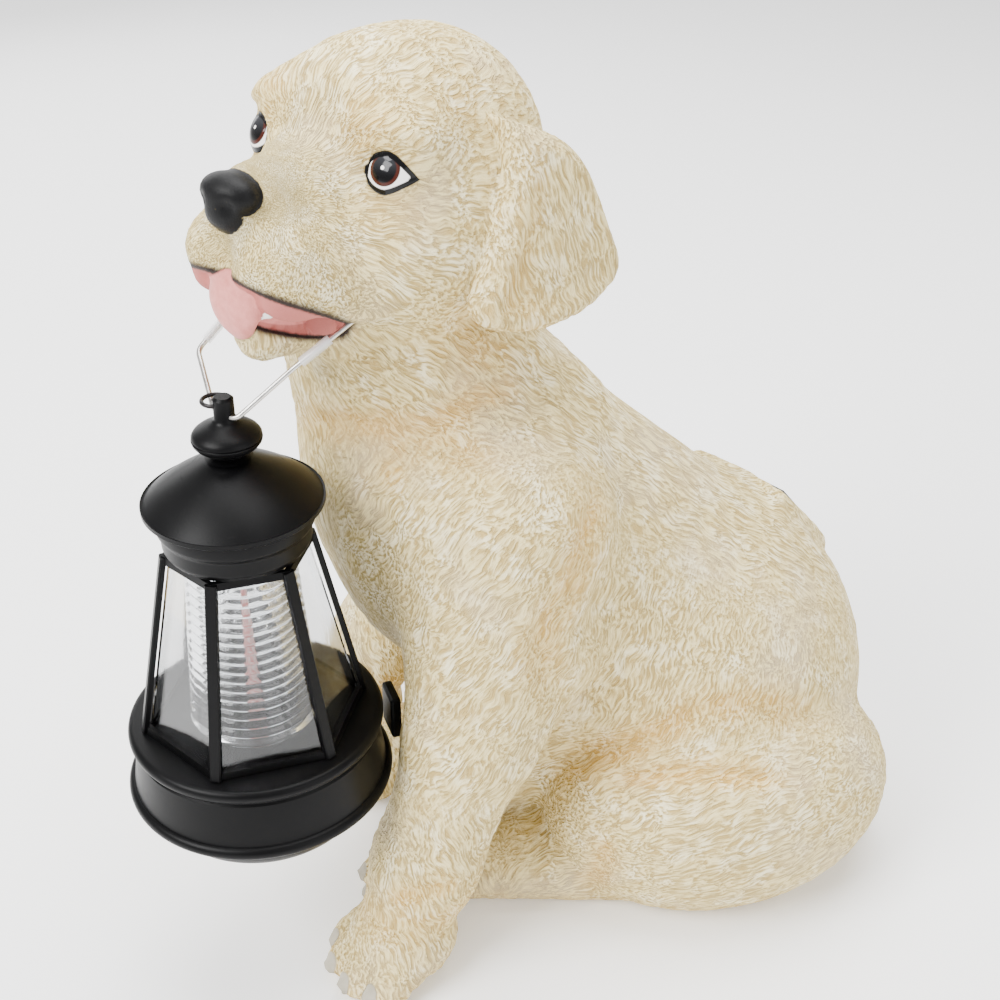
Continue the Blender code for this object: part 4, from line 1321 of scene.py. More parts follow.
        count = sum(len(face.vertices) - 2 for face in mesh.polygons)
        LOG.info("skin: %d triangles before joining", count)
        if count <= self.triangles:
            return mesh
        return with_modifier(mesh, "DECIMATE", prepare, decimate_type="COLLAPSE", vertex_group="plain",
                             vertex_group_factor=0.6, ratio=self.triangles / count)

    def paints(self, points: np.ndarray) -> dict[str, np.ndarray]:
        """Numbers at each vertex that place the paint.

        Args:
            points: places in figure units.

        Returns:
            Four numbers for each vertex under each name.
        """
        half = self.figure.head_half(points)
        nose = np.minimum(NOSE[0].distance(half), NOSE[1].distance(half)) - 0.7
        mouth = MOUTH.distance(half)
        tongue = np.minimum(TONGUE[0].distance(half), TONGUE[1].distance(half)) - 0.45
        tooth = TOOTH.distance(half) - 0.35
        away = 9.0
        claw = np.full(len(points), away)
        for index, paw in enumerate(PAWS):
            local = self.figure.in_paw(points, index)
            near = lengths(local) < 40.0
            own = np.min([form.distance(local[near]) for form in claw_forms()], axis=0) * paw[2]
            claw[near] = np.minimum(claw[near], own - 0.35)
        seen = (half - EYE_PLACE) @ eye_turn()
        u, v, out = seen[:, 0], seen[:, 1], seen[:, 2]
        reach, power, root = (np.where(u > 0.0, *pair)
                              for pair in ((EYE_INNER, EYE_OUTER), (2.0, 1.35), (0.5, 0.85)))
        lid = EYE_LID * (1.0 - np.clip(np.abs(u) / reach, 0.0, 1.0) ** power) ** root
        eye = np.maximum((np.abs(v) - lid) * 0.85, np.abs(u) - reach)
        eye = np.where(np.abs(out) < away, eye, away)
        # Ochre painted shade: along the folds, in the dip inside the ears' rolled rims, in hollows of the head,
        # round the front legs above the paws and near the ground.
        ochre_shade = np.zeros(len(points))
        for fold in self.figure.folds:
            wide = Crease(fold.knots, fold.width * 1.7, 1.0)
            ochre_shade = np.maximum(ochre_shade, wide.nearness(points))
        ear = ear_distance(half)
        rim = rim_distance(half[:, 1], half[:, 2])
        on_ear = 1.0 - eased(0.5, 2.0, ear)
        band = np.exp(-(((rim + 9.0) / 4.5) ** 2)) * (1.0 - eased(-2, 14, half[:, 1]))
        ochre_shade = np.maximum(ochre_shade, 0.75 * on_ear * band)
        for spot, size, share in OCHRE_SHADE_SPOTS:
            ochre_shade = np.maximum(ochre_shade, share * np.exp(-((lengths(half - np.array(spot)) / size) ** 2)))
        for centre, _, _ in PAWS[:2]:
            ring = np.abs(points[:, 2] - 30.0) / 9.0
            near = lengths(points[:, :2] - np.array(centre[:2])) < 34.0
            ochre_shade = np.maximum(ochre_shade, 0.6 * near * np.exp(-ring ** 2))
        ochre_shade = np.maximum(ochre_shade, 0.35 * (1.0 - eased(2.0, 16.0, points[:, 2])))
        bare = np.minimum(np.minimum(nose, tongue), np.minimum(eye, mouth - 0.6))
        return {
            "paint_face": np.stack([nose, mouth, tongue, tooth], axis=1),
            "paint_eye": np.stack([u, v, eye, bare], axis=1),
            "paint_coat": np.stack([ochre_shade, claw, half[:, 2], half[:, 2]], axis=1),
        }

    def build(self, finish: bpy.types.Material) -> bpy.types.Object:
        """Make the casting.

        Args:
            finish: its material.

        Returns:
            The piece.
        """
        mesh = self.skin()
        points = points_of(mesh)
        shares, stores = self.weights(points), self.paints(points)
        fur = eased(0.0, 1.5, stores["paint_eye"][:, 3]) * eased(0.0, 1.0, stores["paint_coat"][:, 1])
        muzzle = 1.0 - 0.6 * shares[:, Coat.HEAD.value] - 0.35 * shares[:, Coat.EAR.value]
        depth = self.tuft_depth * fur * muzzle * self.tufts(points, shares)
        points = seat_panel(points + normals_of(mesh) * depth[:, None])
        low, high = (np.array(corner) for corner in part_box("dog"))
        real = points * UNIT + np.array(self.shift)
        put_points(mesh, np.clip(real, low, high))
        stores["coat_one"] = shares[:, :4]
        stores["coat_two"] = np.stack([shares[:, 4], shares[:, 5], shares[:, 6], shares[:, 6]], axis=1)
        for name, values in stores.items():
            layer = mesh.color_attributes.new(name=name, type="FLOAT_COLOR", domain="POINT")
            layer.data.foreach_set("color", values.astype(np.float32).ravel())
        mesh.shade_smooth()
        return add_piece("puppy", mesh, finish, "resin", "dog")


# Finishes

@dataclass(frozen=True)
class ResinFinish:
    """Painted cast resin: a carved coat with painted shade in its grooves and painted highlights on its crests,
    ochre painted shade in its creases and hollows, and the painted face.
    """

    cream: tuple = paint(234, 217, 160)
    # Painted highlight on the strand crests.
    crest_highlight: tuple = paint(249, 241, 204)
    # Painted shade of the strands' grooves, and the colour of random specks.
    groove_shade_and_specks: tuple = paint(192, 165, 103)
    ochre: tuple = paint(212, 166, 80)
    grey: tuple = paint(206, 200, 182)
    black: tuple = paint(9, 9, 10)
    lip: tuple = paint(58, 48, 44)
    gum: tuple = paint(190, 112, 104)
    tongue: tuple = paint(224, 146, 138)
    tooth: tuple = paint(240, 238, 232)
    claw: tuple = paint(126, 116, 98)
    sclera: tuple = paint(246, 242, 238)
    iris: tuple = paint(62, 26, 18)
    sheen: tuple = paint(96, 98, 104)

    def strands(self, ink: Ink, spot: Sock, region: Coat, puppy: Puppy, width: float) -> Sock:
        """Ridges of one region of the coat.

        Args:
            ink: the material.
            spot: place in millimetres.
            region: the region.
            puppy: gives the head's place.
            width: a strand's, in millimetres.

        Returns:
            Height, 0 to 1.
        """
        if region is Coat.HEAD:
            local = puppy.figure.turn @ np.array(NOSE_ROOT)
            nose = (np.array(HEAD_CENTRE) + local) + np.array(puppy.shift) / UNIT
            rel = ink.vector("SUBTRACT", spot, tuple(nose * UNIT * MILLIMETRES))
            away = ink.vector("LENGTH", rel, out="Value")
            unit = ink.vector("NORMALIZE", rel)
            spread = ink.vector("SCALE", unit, scale=42.0 / width)
            run = ink.node("ShaderNodeCombineXYZ", None, {0: away / (width * 8.0)})
            coords = ink.vector("ADD", spread, run)
        else:
            way = lie(region, puppy.figure.turn)
            first, second = across_of(way)
            coords = ink.node("ShaderNodeCombineXYZ", None, {
                0: ink.part(spot, way / (width * 9.0)), 1: ink.part(spot, first / width),
                2: ink.part(spot, second / width)})
        return ink.noise(coords, 1.0, 2.5, 0.55)

    def coat(self, ink: Ink, puppy: Puppy) -> Sock:
        """Height of the carved strands over the whole coat.

        Args:
            ink: the material.
            puppy: the casting.

        Returns:
            Height, 0 to 1.
        """
        one, two = ink.stored("coat_one"), ink.stored("coat_two")
        spot = ink.place()
        sway = ink.vector("SUBTRACT", ink.noise(spot, 0.10, 1.0, out="Color"), (0.5, 0.5, 0.5))
        spot = ink.vector("ADD", spot, ink.vector("SCALE", sway, scale=6.0))
        shares = {Coat.EAR: one[0], Coat.SHOULDER: one[1], Coat.FLANK: one[2], Coat.BACK: one[3],
                  Coat.HAUNCH: two[0], Coat.LEG: two[1], Coat.HEAD: two[2]}
        total = None
        for region, share in shares.items():
            fine = self.strands(ink, spot, region, puppy, 0.85 if region is not Coat.HEAD else 0.75)
            own = share * fine
            total = own if total is None else total + own
        return total

    def material(self, puppy: Puppy) -> bpy.types.Material:
        """The casting's material.

        Args:
            puppy: the casting.

        Returns:
            The material.
        """
        ink = Ink("painted cast resin")
        spot = ink.place()
        strand = self.coat(ink, puppy)
        lines = (1.0 - abs(strand - 0.5) * 5.0).most(0.0)
        crest = strand.step(0.36, 0.66)
        nose, mouth, tongue, tooth = ink.stored("paint_face")
        u, v, eye, bare = ink.stored("paint_eye")
        ochre_shade, claw, _, level = ink.stored("paint_coat")
        broad = ink.noise(spot, 0.03, 3.0)
        patch = ink.noise(spot, 0.11, 3.0)
        wobble = (ink.noise(spot, 0.9, 2.0) - 0.5) * 0.7

        # Painted shade: the strands' grooves take a darker colour, their crests the cream.
        colour = ink.blend(crest, self.groove_shade_and_specks, self.cream)
        # Painted highlight: a paler colour on the strand crests, in random patches.
        colour = ink.blend(patch.step(0.46, 0.66) * crest * 0.75, colour, self.crest_highlight)
        colour = ink.blend(broad.step(0.5, 0.72) * (1.0 - crest) * 0.55, colour, self.grey)
        # Ochre: the stored painted shade, stronger in the grooves, with random broad ochre patches.
        ochre = (ochre_shade + (broad.step(0.52, 0.70) * 0.22)) * (patch.step(0.30, 0.62) * 0.6 + 0.4)
        colour = ink.blend((ochre * (0.85 - crest * 0.40)).least(0.7), colour, self.ochre)
        specks = ink.noise(spot, 1.6, 1.0).step(0.70, 0.74)
        colour = ink.blend(specks * 0.5, colour, self.groove_shade_and_specks)
        fur = bare.step(0.0, 0.7)

        lip = (mouth + wobble).step(3.0, 1.1)
        colour = ink.blend(lip, colour, self.lip)
        gum = (mouth + wobble).step(0.7, -0.1) * level.step(-40.0, -38.5)
        colour = ink.blend(gum * 0.85, colour, self.gum)
        tongue_on = tongue.step(0.5, 0.1)
        moist = ink.noise(spot, 0.5, 3.0)
        colour = ink.blend(tongue_on, colour, ink.blend(moist, self.tongue, self.gum))
        colour = ink.blend(tooth.step(0.35, 0.05), colour, self.tooth)
        nose_on = (nose + wobble * 0.6).step(0.35, 0.0)
        colour = ink.blend(nose_on, colour, self.black)
        claw_on = (claw + wobble * 0.5).step(0.5, 0.1)
        colour = ink.blend(claw_on, colour, ink.blend(patch, self.claw, self.grey))
        eye_on = eye.step(0.45, 0.15)
        inside = eye.step(-0.85, -1.15)
        aim_u, aim_v = u - 0.5, v - 1.0
        away = (aim_u * aim_u + aim_v * aim_v) ** 0.5
        ball = ink.blend(away.step(4.5, 4.2), self.sclera, self.black)
        ball = ink.blend(away.step(4.4, 4.1) * away.step(3.2, 3.7), ball, self.iris)
        sheen = ((v - 1.4) / 4.0).step(-0.6, 0.9) * away.step(4.2, 3.0)
        ball = ink.blend(sheen * 0.22, ball, self.sheen)
        glint = ((aim_u - 0.3) * (aim_u - 0.3) + (aim_v - 0.3) * (aim_v - 0.3)) ** 0.5
        ball = ink.blend(glint.step(0.62, 0.42), ball, self.sclera)
        colour = ink.blend(eye_on, colour, ink.blend(inside, self.black, ball))

        smooth = (nose_on * 0.55 + eye_on * 1.0).least(1.0)
        wet = (smooth + tongue_on * 0.6).least(1.0)
        grit = ink.noise(spot, 2.6, 2.0) * 0.10 * (1.0 - eye_on)
        height = fur * (1.0 - claw_on) * (lines * 0.45 + strand * 1.3) + grit
        rough = 0.66 - wet * 0.36 - eye_on * 0.18
        return ink.finish(Base_Color=colour, Roughness=rough, Normal=ink.bump(height, 0.9, 0.9),
                          Coat_Weight=eye_on * 0.14, Coat_Roughness=0.05, Specular_IOR_Level=0.14)


@dataclass(frozen=True)
class BlackPlasticFinish:
    """Moulded black plastic with a satin skin, faint dust and small scuffs."""

    name: str = "black moulded plastic"
    dark: tuple = paint(5, 5, 6)
    dusty: tuple = paint(15, 15, 16)
    roughness: float = 0.30

    def material(self) -> bpy.types.Material:
        """The material.

        Returns:
            The finished material.
        """
        ink = Ink(self.name)
        spot = ink.place()
        cloud = ink.noise(spot, 0.06, 3.0)
        fine = ink.noise(spot, 2.2, 3.0, 0.6)
        scuff = ink.noise(ink.vector("MULTIPLY", spot, (0.2, 0.2, 1.4)), 0.9, 3.0).step(0.66, 0.74)
        colour = ink.blend(cloud.step(0.45, 0.8) * 0.35 + scuff * 0.12, self.dark, self.dusty)
        rough = self.roughness + cloud * 0.10 + scuff * 0.12 + fine * 0.05
        return ink.finish(Base_Color=colour, Roughness=rough, Normal=ink.bump(fine + cloud * 1.5, 0.05, 0.5),
                          Specular_IOR_Level=0.10)


@dataclass(frozen=True)
class ClearFinish:
    """Clear moulded plastic, seen through by plain values, with faint flow marks."""

    name: str = "clear moulded plastic"
    tint: tuple = paint(250, 251, 252)
    transmission: float = 1.0
    alpha: float = 1.0
    ior: float = 1.45

    def material(self) -> bpy.types.Material:
        """The material.

        Returns:
            The finished material.
        """
        ink = Ink(self.name)
        spot = ink.place()
        flow = ink.noise(ink.vector("MULTIPLY", spot, (1.0, 1.0, 0.3)), 0.35, 2.0)
        rough = 0.03 + flow * 0.05
        return ink.finish(Base_Color=self.tint, Roughness=rough, Normal=ink.bump(flow, 0.06, 0.4),
                          Transmission_Weight=self.transmission, Alpha=self.alpha, IOR=self.ior)


@dataclass(frozen=True)
class WireFinish:
    """Drawn wire: bright steel, or the blackened small ring."""

    name: str
    bright: tuple
    dull: tuple
    roughness: float

    def material(self) -> bpy.types.Material:
        """The material.

        Returns:
            The finished material.
        """
        ink = Ink(self.name)
        spot = ink.place()
        drawn = ink.noise(spot, 3.0, 3.0, 0.6)
        stain = ink.noise(spot, 0.4, 3.0).step(0.45, 0.75)
        colour = ink.blend(stain * 0.6, self.bright, self.dull)
        return ink.finish(Base_Color=colour, Roughness=self.roughness + drawn * 0.15,
                          Normal=ink.bump(drawn, 0.03, 0.6), Metallic=1.0)


@dataclass(frozen=True)
class GlowFinish:
    """Reddish core seen through the ribbed lens."""

    red: tuple = paint(222, 120, 112)
    pale: tuple = paint(244, 214, 208)

    def material(self) -> bpy.types.Material:
        """The material.

        Returns:
            The finished material.
        """
        ink = Ink("reddish light core")
        streak = ink.noise(ink.vector("MULTIPLY", ink.place(), (1.0, 1.0, 0.25)), 0.8, 2.0)
        colour = ink.blend(streak.step(0.3, 0.7), self.red, self.pale)
        return ink.finish(Base_Color=colour, Emission_Color=colour, Emission_Strength=0.35, Roughness=0.5)


@dataclass(frozen=True)
class CellFinish:
    """Solar cell under a clear cover, with thin lines and a black frame."""

    cell: tuple = paint(20, 28, 62)
    deep: tuple = paint(10, 12, 30)
    line: tuple = paint(150, 154, 160)
    frame: tuple = paint(16, 16, 17)
    side: float = 35.0
    border: float = 2.4

    def material(self, shift: Vector) -> bpy.types.Material:
        """The material.

        Args:
            shift: from figure units' origin to the part's, in metres.

        Returns:
            The material.
        """
        ink = Ink("solar cell")
        turn = panel_turn()
        middle = (np.array(PANEL_PLACE) * UNIT + np.array(shift)) * MILLIMETRES
        rel = ink.vector("SUBTRACT", ink.place(), tuple(middle))
        u, v = ink.part(rel, turn[:, 0]), ink.part(rel, turn[:, 1])
        rim = self.side / 2.0 - self.border
        on_frame = abs(u).most(abs(v)).step(rim - 0.05, rim + 0.05)
        fingers = (u * (2.0 * pi / 1.5)).wave().step(0.93, 0.985)
        bars = (abs(v) - 7.6)
        bars = abs(bars).step(0.5, 0.4)
        shade = ink.noise(rel, 0.12, 3.0)
        colour = ink.blend(shade, self.cell, self.deep)
        colour = ink.blend((fingers * 0.45).most(bars * 0.8), colour, self.line)
        colour = ink.blend(on_frame, colour, self.frame)
        return ink.finish(Base_Color=colour, Roughness=0.12 + on_frame * 0.25, Coat_Weight=1.0 - on_frame,
                          Coat_Roughness=0.05, Normal=ink.bump(shade, 0.04, 0.3))


@dataclass(frozen=True)
class FloorFinish:
    """Plain pale floor."""

    pale: tuple = paint(246, 246, 246)

    def material(self) -> bpy.types.Material:
        """The material.

        Returns:
            The finished material.
        """
        ink = Ink("pale floor")
        haze = ink.noise(ink.place(), 0.01, 2.0)
        colour = ink.blend(haze * 0.2, self.pale, paint(240, 240, 240))
        return ink.finish(Base_Color=colour, Roughness=0.6 + haze * 0.1,
                          Emission_Color=self.pale, Emission_Strength=0.30)


# The lantern

@dataclass
class Lantern:
    """The hanging lantern: drum, caged panes, lens, collar, roof and finial."""

    shift: Vector
    drum_radius: float = 0.0365
    drum_wall: float = 0.0022
    band_height: float = 0.0200
    bowl_depth: float = 0.0200
    bead: float = 0.0021
    bead_step: float = 0.0020
    deck_hole: float = 0.0150
    cage_height: float = 0.0602
    cage_foot_radius: float = 0.0340
    cage_head_radius: float = 0.0218
    ring_height: float = 0.0022
    bar_width: float = 0.0034
    bar_depth: float = 0.0017
    bar_proud: float = 0.0004
    cage_turn: float = radians(36.0)
    pane_setback: float = 0.0005
    pane_thickness: float = 0.0010
    lens_foot: float = 0.0192
    lens_ribs: int = 18
    lens_rib_depth: float = 0.0011
    lens_wall: float = 0.0016
    lens_headroom: float = 0.0030
    collar_radius: float = 0.0225
    collar_height: float = 0.0130
    roof_radius: float = 0.0257
    roof_rim: float = 0.0016
    roof_rise: float = 0.0129
    roof_neck: float = 0.0058
    finial_radius: float = 0.0098
    finial_height: float = 0.0100
    finial_shoulder: float = 0.0018
    stem_radius: float = 0.0029
    stem_height: float = 0.0065
    gap: float = 0.0003

    def __post_init__(self) -> None:
        """Work out the heights, down from the hole that the bail passes."""
        spot = Vector((*LANTERN_AXIS, BAIL_HOLE_HEIGHT)) * UNIT + self.shift
        self.centre, self.hole = Vector((spot.x, spot.y, 0.0)), spot.z
        self.stem_top = self.hole + self.stem_radius
        self.knob_top = self.stem_top - self.stem_height
        self.finial_foot = self.knob_top - self.finial_height - self.finial_shoulder
        self.roof_top = self.finial_foot - self.gap
        self.roof_edge = self.roof_top - self.roof_rise
        self.collar_top = self.roof_edge - self.roof_rim - self.gap
        self.collar_foot = self.collar_top - self.collar_height
        self.cage_top = self.collar_foot - self.gap
        self.cage_foot = self.cage_top - self.cage_height
        self.deck = self.cage_foot - self.gap
        self.band_foot = self.deck - self.band_height - 2.0 * self.bead

    def cage_radius(self, height: float) -> float:
        """Corner radius of the cage at a height."""
        share = (height - self.cage_foot) / self.cage_height
        return self.cage_foot_radius + share * (self.cage_head_radius - self.cage_foot_radius)

    def corners(self, radius: float, height: float) -> list[Vector]:
        """Corners of the cage's hexagon."""
        return [self.centre + Vector((radius * cos(pi * k / 3 + self.cage_turn),
                                      radius * sin(pi * k / 3 + self.cage_turn), height))
                for k in range(6)]

    def drum(self) -> bpy.types.Mesh:
        """Drum with two beads, a fine line under the upper one, and a bowl below.

        Returns:
            The mesh, in metres.
        """
        top, low, radius = self.deck, self.band_foot, self.drum_radius
        line = top - 2.0 * self.bead - 0.0016
        outer = [(self.deck_hole, top)] + arc((radius, top - self.bead), self.bead, 90, -80, 12)
        outer += [(radius + 0.0002, line + 0.0006), (radius + 0.0007, line), (radius, line - 0.0006)]
        outer += arc((radius + self.bead_step, low + self.bead), self.bead, 85, -90, 12)
        bowl = [((radius - 0.001) * cos(radians(4.5 * k)), low - self.bowl_depth * sin(radians(4.5 * k)))
                for k in range(1, 20)] + [(0.0, low - self.bowl_depth)]
        inner_radius = radius - self.drum_wall
        inner = [(0.0, low - self.bowl_depth + self.drum_wall), (inner_radius * 0.7, low - self.bowl_depth * 0.55),
                 (inner_radius, low), (inner_radius, top - 0.002), (self.deck_hole, top - 0.002)]
        return turned("lantern_drum_shell", outer + bowl + inner, self.centre)

    def cage(self) -> bpy.types.Mesh:
        """Six leaning bars with softened edges and two rings.

        Returns:
            The mesh, in metres.
        """
        bm = bmesh.new()
        foot, top = self.cage_foot, self.cage_top
        for low, high in ((foot, foot + self.ring_height), (top - self.ring_height, top)):
            loft(bm, [self.corners(self.cage_radius(height) - inset, height) for height, inset in
                      ((low, 0.0), (high, 0.0), (high, self.bar_depth), (low, self.bar_depth))], True)
        for side in range(6):
            angle = pi * side / 3 + self.cage_turn
            out = Vector((cos(angle), sin(angle), 0.0))
            across = Vector((-sin(angle), cos(angle), 0.0)) * (self.bar_width / 2.0)
            rings = []
            for height in (foot + 0.0003, top - 0.0003):
                face = self.centre + out * (self.cage_radius(height) + self.bar_proud)
                back = face - out * (self.bar_proud + self.bar_depth * 0.85)
                ease, lift = 0.22, Vector((0.0, 0.0, height))
                rings.append([face - across + (back - face) * ease + lift, face - across * (1 - ease) + lift,
                              face + across * (1 - ease) + lift, face + across + (back - face) * ease + lift,
                              back + across + lift, back - across + lift])
            made = loft(bm, rings, False)
            bm.faces.new(made[0])
            bm.faces.new(made[1])
        return mesh_of(bm, "lantern_cage_bars", 30)

    def panes(self) -> bpy.types.Mesh:
        """Thin clear six-sided sleeve inside the bars.

        Returns:
            The mesh, in metres.
        """
        bm = bmesh.new()
        inset = self.bar_depth + self.pane_setback
        low, high = self.cage_foot, self.cage_top
        loft(bm, [self.corners(self.cage_radius(height) - inset - deeper, height) for height, deeper in
                  ((low, 0.0), (high, 0.0), (high, self.pane_thickness), (low, self.pane_thickness))], True)
        return mesh_of(bm, "lantern_clear_panes", 20)

    def lens(self) -> bpy.types.Mesh:
        """Clear tapering tube with rounded rings one above another.

        Returns:
            The mesh, in metres.
        """
        foot, top = self.cage_foot, self.cage_top - self.lens_headroom
        taken = self.bar_depth + self.pane_setback + self.pane_thickness
        room = (self.cage_radius(top) - taken) * cos(pi / 6)
        head = room - 0.0012
        pitch = (top - foot) / self.lens_ribs
        outer: Profile = []
        for rib in range(self.lens_ribs):
            for share, sunk in ((0.0, 1.0), (0.18, 0.55), (0.36, 0.12), (0.5, 0.0), (0.64, 0.12), (0.82, 0.55)):
                height = foot + pitch * (rib + share)
                radius = self.lens_foot + (height - foot) / (top - foot) * (head - self.lens_foot)
                outer.append((radius - self.lens_rib_depth * sunk, height))
        outer.append((head - self.lens_rib_depth, top))
        wall = self.lens_wall + self.lens_rib_depth
        return turned("lantern_ribbed_lens", outer + [(head - wall, top), (self.lens_foot - wall, foot)],
                      self.centre, 96)

    def core(self) -> bpy.types.Mesh:
        """Slim round core in the middle of the lens.

        Returns:
            The mesh, in metres.
        """
        foot, top = self.cage_foot + 0.001, self.cage_foot + 0.042
        profile = [(0.0, foot), (0.0022, foot), (0.0020, (foot + top) / 2), (0.0008, top), (0.0, top)]
        return turned("lantern_light_core", profile, self.centre, 24)

    def collar(self) -> bpy.types.Mesh:
        """Two-step band that tapers down to the panes.

        Returns:
            The mesh, in metres.
        """
        top, foot, radius = self.collar_top, self.collar_foot, self.collar_radius
        step, inner = foot + self.collar_height * 0.5, self.cage_head_radius - self.bar_depth
        profile = [(inner, top), (radius, top), (radius, step + 0.0014), (radius - 0.0012, step),
                   (radius - 0.0013, foot + 0.0018), (radius - 0.0026, foot), (inner, foot)]
        return turned("lantern_collar_band", rounded(profile, 0.0007), self.centre)

    def roof(self) -> bpy.types.Mesh:
        """Domed cone with a thin upright rim.

        Returns:
            The mesh, in metres.
        """
        edge, top, foot = self.roof_edge, self.roof_top, self.roof_edge - self.roof_rim
        outer = [(0.0, top), (self.roof_neck, top)]
        for step in range(1, 15):
            share = step / 14.0
            radius = self.roof_neck + share * (self.roof_radius - 0.0006 - self.roof_neck)
            outer.append((radius, top - self.roof_rise * (0.80 * share + 0.20 * share ** 3)))
        outer += [(self.roof_radius, edge + 0.0002), (self.roof_radius, foot + 0.0005),
                  (self.roof_radius - 0.0005, foot), (self.roof_radius - 0.0018, foot)]
        inner = [(self.roof_radius - 0.0018, edge - 0.0011), (self.roof_neck, top - 0.0027), (0.0, top - 0.0027)]
        return turned("lantern_roof_dome", outer + inner, self.centre)

    def finial(self) -> bpy.types.Mesh:
        """Onion knob with a seam, on its neck, under the stem.

        Returns:
            The mesh, in metres.
        """
        foot, seat = self.finial_foot, self.finial_foot + self.finial_shoulder
        middle, radius, neck = seat + self.finial_height * 0.42, self.finial_radius, self.roof_neck
        profile = [(0.0, foot), (neck + 0.0008, foot), (neck - 0.0012, seat - 0.0010), (neck, seat)]
        for share in (0.2, 0.4, 0.6, 0.8, 1.0):
            profile.append((neck + (radius - neck) * sin(share * pi / 2), seat + (middle - seat - 0.0003) * share))
        profile += [(radius - 0.0004, middle), (radius - 0.0001, middle + 0.0004)]
        for share in (0.15, 0.3, 0.45, 0.6, 0.72, 0.84):
            wide = (radius - 0.0001) * cos(share * pi / 2) + self.stem_radius * share * 0.5
            profile.append((max(wide, self.stem_radius), middle + (self.knob_top - middle) * share))
        top = self.stem_top
        profile += [(self.stem_radius, self.knob_top), (self.stem_radius, top - 0.0007),
                    (self.stem_radius - 0.0007, top), (0.0, top)]
        return turned("lantern_finial_knob", profile, self.centre, 64)

    def build(self) -> None:
        """Make and dress every piece of the lantern."""
        black = BlackPlasticFinish().material()
        clear = ClearFinish(name="clear lens", ior=1.42).material()
        pane = ClearFinish(name="clear pane", ior=1.40).material()
        add_piece("lantern_drum_shell", self.drum(), black, "black_plastic", "lantern_drum")
        add_piece("lantern_cage_bars", self.cage(), black, "black_plastic", "lantern_cage")
        add_piece("lantern_collar_band", self.collar(), black, "black_plastic", "lantern_collar")
        add_piece("lantern_roof_dome", self.roof(), black, "black_plastic", "lantern_roof")
        add_piece("lantern_finial_knob", self.finial(), black, "black_plastic", "lantern_finial")
        add_piece("lantern_clear_panes", self.panes(), pane, "clear_plastic", "lantern_panes")
        add_piece("lantern_ribbed_lens", self.lens(), clear, "clear_plastic", "lantern_lens")
        add_piece("lantern_light_core", self.core(), GlowFinish().material(), "clear_plastic")
        frame["nodes"]["lantern_switch"].material_slots[0].material = black


